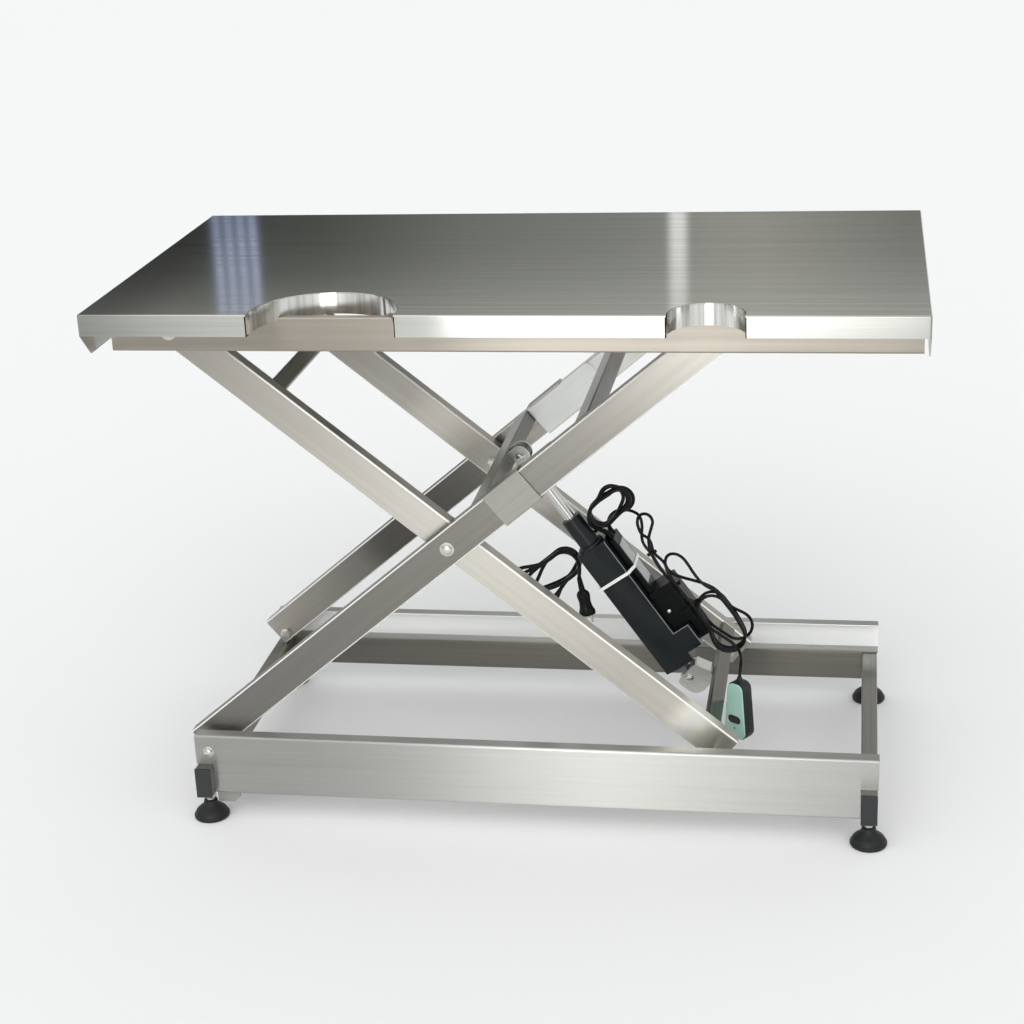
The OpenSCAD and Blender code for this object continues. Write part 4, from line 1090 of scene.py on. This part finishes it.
def makeHandControl(spec):
    place = at(*spec["place"]) @ Matrix.Rotation(radians(spec["turn"]), 4, "Z")
    half = spec["thick"] / 2
    bm = bmesh.new()
    slabShell(bm, spec, [(grow, -half + depth) for grow, depth in spec["front"]]
              + [(grow, half - depth) for grow, depth in spec["back"]])
    lathe(bm, spec["neck"], 28, at(0, 0, spec["length"] / 2))
    addPiece("handControlShell", bm, "actuator", shellRubber, ("handset_shell",), place,
             sharp=35)
    bm = bmesh.new()
    slabShell(bm, spec, [(grow, -half + depth) for grow, depth in spec["face"]])
    z, long, wide = spec["rocker"]
    # raised rim round the rocker, and the dark well that the rocker stands in
    outer = stadium(long / 2 - wide / 2, wide / 2 + 2.3, z)
    inner = stadium(long / 2 - wide / 2, wide / 2 + 1.3, z)
    loops = [[vertex(bm, x, -half + y, zz) for x, zz in loop]
             for loop, y in ((outer, 0.1), (outer, -0.35), (inner, -0.35), (inner, 0.1))]
    stitch(bm, loops + [loops[0]])
    plate(bm, inner, -half - 0.08, -half + 0.4, 1)
    lathe(bm, ((0, -0.3), (1.5, -0.3), (1.5, 0.25), (1.1, 0.6), (0, 0.75)), 20,
          outwards(0, -half, spec["lamp"], -1), 1)
    addPiece("handControlFace", bm, "actuator", (faceGreen, rockerBlack), ("handset_face",),
             place, sharp=35)


makeHandControl(handControl)
softened("handset_rocker", "handRocker", "rocker", rockerBlack, 1.2, 3)
print("hand control made")


def windHank(ends, radius, side, first, last, y0, pitch, fan, reach):
    # one run of turns round two centres in [s, t]; arcs are mm of cord from the near end's tip
    a, b = (Vector(e) for e in ends)
    along = (b - a).normalized()
    out = side * Vector((along.y, -along.x))
    run = (b - a).length
    turn = 2 * run + 2 * pi * radius
    quarter = pi * radius / 2
    knotSpacing = 8.0
    count = round((last - first) / knotSpacing)
    points = []
    for i in range(count + 1):
        arc = first + (last - first) * i / count
        # round the near end, out along one side, round the far end, back, and round the near end
        m = arc % turn
        if m < quarter:
            f = m / radius
            p = a - radius * cos(f) * along + radius * sin(f) * out
        elif m < quarter + run:
            p = a + radius * out + (m - quarter) * along
        elif m < 3 * quarter + run:
            f = (m - quarter - run) / radius
            p = b + radius * cos(f) * out + radius * sin(f) * along
        elif m < 3 * quarter + 2 * run:
            p = b - radius * out - (m - 3 * quarter - run) * along
        else:
            f = (m - 3 * quarter - 2 * run) / radius
            p = a - radius * cos(f) * out - radius * sin(f) * along
        # each turn fans out round the near end and reaches its own way past the far one
        share = min(1.0, max(0.0, (p - a).dot(along) / run))
        share = share * share * (3 - 2 * share)
        p = p + along * reach * share * sin(arc / turn * 2.1 + 0.5)
        swing = radians(fan) * share * cos(arc / turn * 1.7 + 0.2)
        d = p - a
        p = a + Vector((d.x * cos(swing) - d.y * sin(swing), d.x * sin(swing) + d.y * cos(swing)))
        points.append((p.x, y0 + pitch * (arc - first) / turn, p.y))
    return points


def makeCord(name, points, diameter, body, nodes):
    # one smooth line through the points, then the round tube that lies along it
    data = bpy.data.curves.new(name, "CURVE")
    data.dimensions = "3D"
    data.bevel_resolution = 4
    data.resolution_u = 4
    data.use_fill_caps = True
    spline = data.splines.new("BEZIER")
    spline.bezier_points.add(len(points) - 1)
    for knot, point in zip(spline.bezier_points, points):
        knot.co = onActuator(*point)
        knot.handle_left_type = knot.handle_right_type = "AUTO"
    line = newObject(name + "Line", data)
    meshes = []
    for depth in (0.0, diameter / 2):
        data.bevel_depth = depth
        bpy.context.view_layer.update()
        shaped = line.evaluated_get(bpy.context.evaluated_depsgraph_get())
        meshes.append(bpy.data.meshes.new_from_object(shaped))
    route = [tuple(v.co) for v in meshes[0].vertices]
    bpy.data.objects.remove(line)
    bpy.data.curves.remove(data)
    meshes[1].name = name
    meshes[1].polygons.foreach_set("use_smooth", [True] * len(meshes[1].polygons))
    meshes[1].materials.clear()
    meshes[1].materials.append(cordSheath)
    obj = newObject(name, meshes[1])
    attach(obj, body)
    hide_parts(*nodes)
    return obj, route


# The mains lead: from its gland into the upper hank, over the housing, into the lower hank
# and down to its plug. A cord's diameter and length are in metres, its places in mm on the
# actuator.
mains = {
    "diameter": 0.006, "length": 2.02,
    "start": [(262, 8, 32), (270, 8, 31.6), (278, 6.5, 29), (286, 3, 25.3), (294, -2.5, 22.8),
              (302, -7.8, 22.6), (310.5, -11, 25.6)],
    "upper": {"ends": [(306, 46), (314, 79)], "radius": 19.5, "side": 1, "fan": 13, "reach": 3,
              "y0": -10.5, "pitch": 5.9},
    "link": [(287.3, 12.4, 50), (285, 15, 37), (283.5, 19, 24), (281.5, 23, 11), (278, 27, -3),
             (272.5, 31, -17), (264.5, 34.5, -30), (255, 36.5, -43), (247, 36.6, -57)],
    "lower": {"ends": [(264, -62), (257, -126)], "radius": 23, "side": 1, "fan": 17, "reach": 8,
              "y0": 34.6, "pitch": -6.05},
    "plugLead": [(259, 9.8, -38.8), (251.5, 7.4, -40.6), (244, 3.7, -45), (237, 0, -50.5)],
}

# The hand control's cord: down the bundle into its hank, twice up and round and back, and
# down to the hand control.
hand = {
    "diameter": 0.005, "length": 1.98,
    "start": [(262, 28, 32), (270, 28, 32.3), (278, 29.5, 34), (285, 33, 40), (288, 36, 50),
              (286.5, 36, 61), (281, 32, 72), (274, 25, 82), (266, 16.5, 88), (256, 9.5, 87)],
    "bundle": [(230, 3, 75), (205, -1, 73), (170, -9, 76), (145, -17, 80), (124, -24, 84)],
    "hank": {"ends": [(88, 110), (34, 111)], "radius": 22.5, "side": -1, "fan": 16,
             "reach": 4, "pitch": -5.2},
    "rise": [(108, -30.5, 131), (125, -27, 121), (140, -21, 106), (153, -15, 92),
             (168, -10.5, 82)],
    "topLoop": [(243, 1, 78), (254, 0.3, 80.5), (263, -1, 85), (269.6, -2.8, 93),
                (269.6, -4.6, 102.4), (262, -6.2, 108.8), (252, -7.2, 107.5),
                (245, -7.8, 100.5), (238.5, -8, 92.5), (231, -7.5, 84.8), (221, -5.5, 78.5)],
    "sideLoop": [(108, -36, 130), (130, -34, 120.5), (150, -29, 117.5), (166, -24, 117),
                 (180, -20.5, 115), (190.5, -18, 108), (194, -16.5, 98), (189, -15.5, 88.5),
                 (178, -16, 82.5), (163, -19, 80), (145, -25, 81.5), (124, -31.5, 84.5),
                 (106, -35.5, 87.2)],
    "tail": [(21.5, -44.3, 104.5), (13.5, -48, 106.6), (7, -55, 107.9), (3.4, -64, 108.4),
             (1.5, -74, 108.2), (-1, -83, 106.5), (-5.5, -89.5, 102.8), (-10.8, -92, 98),
             (-16, -92, 94)],
}


def strand(points, number):
    # one of the three strands that lie side by side in the bundle, loosest between the ties
    dy, dt = ((2.6, -1.9), (0, 3.0), (-2.6, -1.5))[number]
    tie, span = 146, 61
    return [(s, y + dy, t + dt * (1 + 1.5 * abs(sin(pi * (s - tie) / span))))
            for s, y, t in points]


def hankTurns(spec):
    # the straight run, one whole turn and a quarter of a turn round an end
    run = math.dist(*spec["ends"])
    return run, 2 * run + 2 * pi * spec["radius"], pi * spec["radius"] / 2


def mainsRoute(spec):
    free = 14  # cord that bends into or out of a hank
    run, turn, quarter = hankTurns(spec["upper"])
    points = spec["start"] + windHank(first=19, last=3 * turn + 3 * quarter + 2 * run - free,
                                      **spec["upper"])
    run, turn, quarter = hankTurns(spec["lower"])
    points += spec["link"] + windHank(first=quarter + free, last=4 * turn, **spec["lower"])
    return points + spec["plugLead"]


def handRoute(spec):
    run, turn, quarter = hankTurns(spec["hank"])
    free = 8  # cord that bends into or out of the hank
    join = quarter + free
    leave = 3 * quarter + 2 * run - free
    bundle = spec["bundle"]
    points = spec["start"] + strand(bundle, 0) + [(106, -21, 87)]
    points += windHank(first=join, last=turn + leave, y0=-20.5, **spec["hank"])
    points += spec["rise"] + strand([(187, -5, 74.2), (205, -1, 73), (228, 1.5, 75.5)], 1)
    points += spec["topLoop"]
    points += strand([(211, -2.2, 76), (196, -2.7, 74)] + bundle[2:], 2) + [(106, -29.5, 87.2)]
    points += windHank(first=join, last=leave, y0=-30.9, **spec["hank"])
    points += spec["sideLoop"]
    points += windHank(first=join, last=turn + quarter + run + 2, y0=-36.6, **spec["hank"])
    return points + spec["tail"]


mainsLead, mainsLine = makeCord("mainsLeadSheath", mainsRoute(mains), mains["diameter"],
                                "actuator", ("mains_lead", "mains_hank_upper",
                                             "mains_hank_lower"))
handCord, handLine = makeCord("handCordSheath", handRoute(hand), hand["diameter"], "actuator",
                              ("hand_cord", "hand_cord_hank"))
makeRelief("mainsStrainRelief", mains["start"], 24, 5.6, 3.5)
makeRelief("handStrainRelief", hand["start"], 16, 5.2, 3.0)
ties = {
    "bundleTieUpper": {"at": (207, -1, 73.4), "ahead": (-25, -4, -2), "radius": 7.3, "width": 4,
                       "tail": 9},
    "bundleTieLower": {"at": (146, -16.8, 80), "ahead": (-25, -8, 4), "radius": 7.3, "width": 4,
                       "tail": 14},
    "hankTie": {"at": (108, -27, 87), "ahead": (-20, -6, 3), "radius": 9.5, "width": 4,
                "tail": 34},
}
for name, spec in ties.items():
    makeTie(name, spec)
print("cords routed")

# The world is a studio that only reflections show: grey walls with pale panels, upright lamps,
# and layers that fade over them. Bearings are in degrees from +Y, heights are sines. Walls are
# (bearing, tone); a row of lamps has its first bearing, its pitch and the half widths of a
# lamp's core and edge; a layer is (tone, height from, height to, share below, share above).
room = {"floor": "#f1f2f2", "backdrop": "#f8f9f9",
        "skyLight": 1.28, "lowLight": "#fdfefe", "highLight": "#a0a1a2",
        "highLightFrom": (0.25, 0.9),
        "layers": (("#dcddd8", 0.242, 0.266, 0.0, 0.75),  # the upper part of the walls
                   ("#eff0f0", 0.0, 0.14, 1.0, 0.0),  # the pale horizon
                   ("#e2e4e5", 0.4, 0.75, 0.0, 1.0)),  # the ceiling
        "walls": ((-180, "#f2f2ee"), (-160, "#d6d6d2"), (-138, "#6a6b69"), (-112, "#d2d2ce"),
                  (-85, "#7b7c7a"), (-50, "#b0b0ac"), (-30, "#484a48"), (-20, "#303332"),
                  (-15, "#484b48"), (-11, "#787a78"), (-6, "#8c8e8c"), (-3.5, "#aaa9a3"),
                  (1.5, "#80807d"), (9, "#a5a5a2"), (30, "#dcdcd8"), (52, "#818280"),
                  (80, "#c8c8c4"), (110, "#747573"), (140, "#8d8d8a"), (165, "#e6e6e2"),
                  (180, "#f2f2ee")),
        "lamps": ({"first": -17.84, "pitch": 20, "count": 1, "core": 0.5, "edge": 0.85,
                   "tone": "#5a647c"},
                  {"first": -18.35, "pitch": 0.34, "count": 4, "core": 0.04, "edge": 0.14,
                   "tone": "#bcc8e8"},
                  {"first": -5.16, "pitch": 20, "count": 1, "core": 0.08, "edge": 0.4,
                   "tone": "#ffffff"}),
        # place and size are in metres
        "softbox": {"place": (0.0, -3.6, 0.62), "aim": (0, 0, 0.5), "size": (1.5, 1.1),
                    "bright": 4.3},
        # name, tilt in degrees, share of the sun's strength and whether polished metal shows it;
        # the low sun only lights the floor under the table
        "suns": (("keySun", (38, -18, 0), 1.0, True), ("fillSun", (30, 40, 0), 0.35, True),
                 ("lowSun", (66, 0, 8), 1.6, False)),
        "sunStrength": 0.6, "sunAngle": 60, "sunColour": (1.0, 0.99, 0.975)}


def lampRow(tree, azimuth, under, spec):
    # upright lamps, evenly spaced, each bright to its core and faded out at its edge
    first, pitch, core, edge = (radians(spec[k]) for k in ("first", "pitch", "core", "edge"))
    span = pitch * (spec["count"] - 1)
    off = addNode(tree, "ShaderNodeMath", {"operation": "SUBTRACT"},
                  {0: azimuth.outputs[0], 1: first})
    away = addNode(tree, "ShaderNodeMath", {"operation": "PINGPONG"},
                   {0: off.outputs[0], 1: pitch / 2})
    glow = addNode(tree, "ShaderNodeMapRange", {"interpolation_type": "SMOOTHSTEP"},
                   {0: away.outputs[0], 1: core, 2: edge, 3: 1.0, 4: 0.0})
    near = addNode(tree, "ShaderNodeMath", {"operation": "COMPARE"},
                   {0: azimuth.outputs[0], 1: first + span / 2, 2: span / 2 + edge})
    share = addNode(tree, "ShaderNodeMath", {"operation": "MULTIPLY"},
                    {0: glow.outputs[0], 1: near.outputs[0]})
    return addNode(tree, "ShaderNodeMix", {"data_type": "RGBA"},
                   {0: share.outputs[0], 6: under, 7: linearColour(spec["tone"])}).outputs[2]


def makeWorld(spec):
    # soft light from all round, and a room of walls and lamps that reflections see in its place
    world = bpy.data.worlds.new("studioWorld")
    bpy.context.scene.world = world
    world.use_nodes = True
    tree = world.node_tree
    tree.nodes.clear()
    rays = addNode(tree, "ShaderNodeLightPath")
    seen = addNode(tree, "ShaderNodeMath", {"operation": "MAXIMUM"},
                   {0: rays.outputs["Is Camera Ray"], 1: rays.outputs["Is Glossy Ray"]})
    seen = addNode(tree, "ShaderNodeMath", {"operation": "MAXIMUM"},
                   {0: seen.outputs[0], 1: rays.outputs["Is Transmission Ray"]})
    place = addNode(tree, "ShaderNodeTexCoord")
    parts = addNode(tree, "ShaderNodeSeparateXYZ", None, {0: place.outputs["Generated"]})
    # the walls give more light than the ceiling, so the floor under the table stays pale
    fade = addNode(tree, "ShaderNodeMapRange", None,
                   {0: parts.outputs["Z"], 1: spec["highLightFrom"][0],
                    2: spec["highLightFrom"][1], 3: 0.0, 4: 1.0})
    glow = addNode(tree, "ShaderNodeMix", {"data_type": "RGBA"},
                   {0: fade.outputs[0], 6: linearColour(spec["lowLight"]),
                    7: linearColour(spec["highLight"])})
    light = addNode(tree, "ShaderNodeBackground", None,
                    {"Color": glow.outputs[2], "Strength": spec["skyLight"]})
    azimuth = addNode(tree, "ShaderNodeMath", {"operation": "ARCTAN2"},
                      {0: parts.outputs["X"], 1: parts.outputs["Y"]})
    tones = tonesAlong(tree, azimuth.outputs[0],
                       [(radians(b), linearColour(tone)) for b, tone in spec["walls"]]).outputs[0]
    for lamps in spec["lamps"]:
        tones = lampRow(tree, azimuth, tones, lamps)
    for tone, start, end, below, above in spec["layers"]:
        share = addNode(tree, "ShaderNodeMapRange", {"interpolation_type": "SMOOTHSTEP"},
                        {0: parts.outputs["Z"], 1: start, 2: end, 3: below, 4: above})
        tones = addNode(tree, "ShaderNodeMix", {"data_type": "RGBA"},
                        {0: share.outputs[0], 6: tones, 7: linearColour(tone)}).outputs[2]
    # the camera sees an even pale backdrop in place of the walls
    behind = addNode(tree, "ShaderNodeMix", {"data_type": "RGBA"},
                     {0: rays.outputs["Is Camera Ray"], 6: tones,
                      7: linearColour(spec["backdrop"])})
    shown = addNode(tree, "ShaderNodeBackground", None,
                    {"Color": behind.outputs[2], "Strength": 1.0})
    mix = addNode(tree, "ShaderNodeMixShader", None,
                  {0: seen.outputs[0], 1: light.outputs[0], 2: shown.outputs[0]})
    addNode(tree, "ShaderNodeOutputWorld", None, {"Surface": mix.outputs[0]})


def makeRoom(spec):
    floor = bpy.data.meshes.new("studioFloor")
    floor.from_pydata([(-30, -30, 0), (30, -30, 0), (30, 60, 0), (-30, 60, 0)], [],
                      [(0, 1, 2, 3)])
    obj = newObject("studioFloor", floor)
    paint = {"Base Color": linearColour(spec["floor"]), "Roughness": 0.9,
             "Specular IOR Level": 0.2}
    floor.materials.append(startMaterial("paintedMattFloor", paint)[0])
    for name, turn, part, mirrored in spec["suns"]:
        lamp = bpy.data.lights.new(name, "SUN")
        lamp.energy = spec["sunStrength"] * part
        lamp.angle = radians(spec["sunAngle"])
        lamp.color = spec["sunColour"]
        sun = newObject(name, lamp)
        sun.rotation_euler = [radians(a) for a in turn]
        sun.visible_glossy = mirrored
    # a softbox that only polished metal shows
    box = spec["softbox"]
    lamp = bpy.data.lights.new("softbox", "AREA")
    lamp.shape = "RECTANGLE"
    lamp.size, lamp.size_y = box["size"]
    lamp.energy = box["bright"] * pi * box["size"][0] * box["size"][1]
    panel = newObject("softbox", lamp)
    look = Vector(box["aim"]) - Vector(box["place"])
    panel.matrix_world = Matrix.Translation(box["place"]) @ look.to_track_quat(
        "-Z", "Y").to_matrix().to_4x4()
    panel.visible_camera = False
    panel.visible_diffuse = False


makeWorld(room)
makeRoom(room)
bpy.context.scene.view_settings.view_transform = "Standard"
print("room lit")
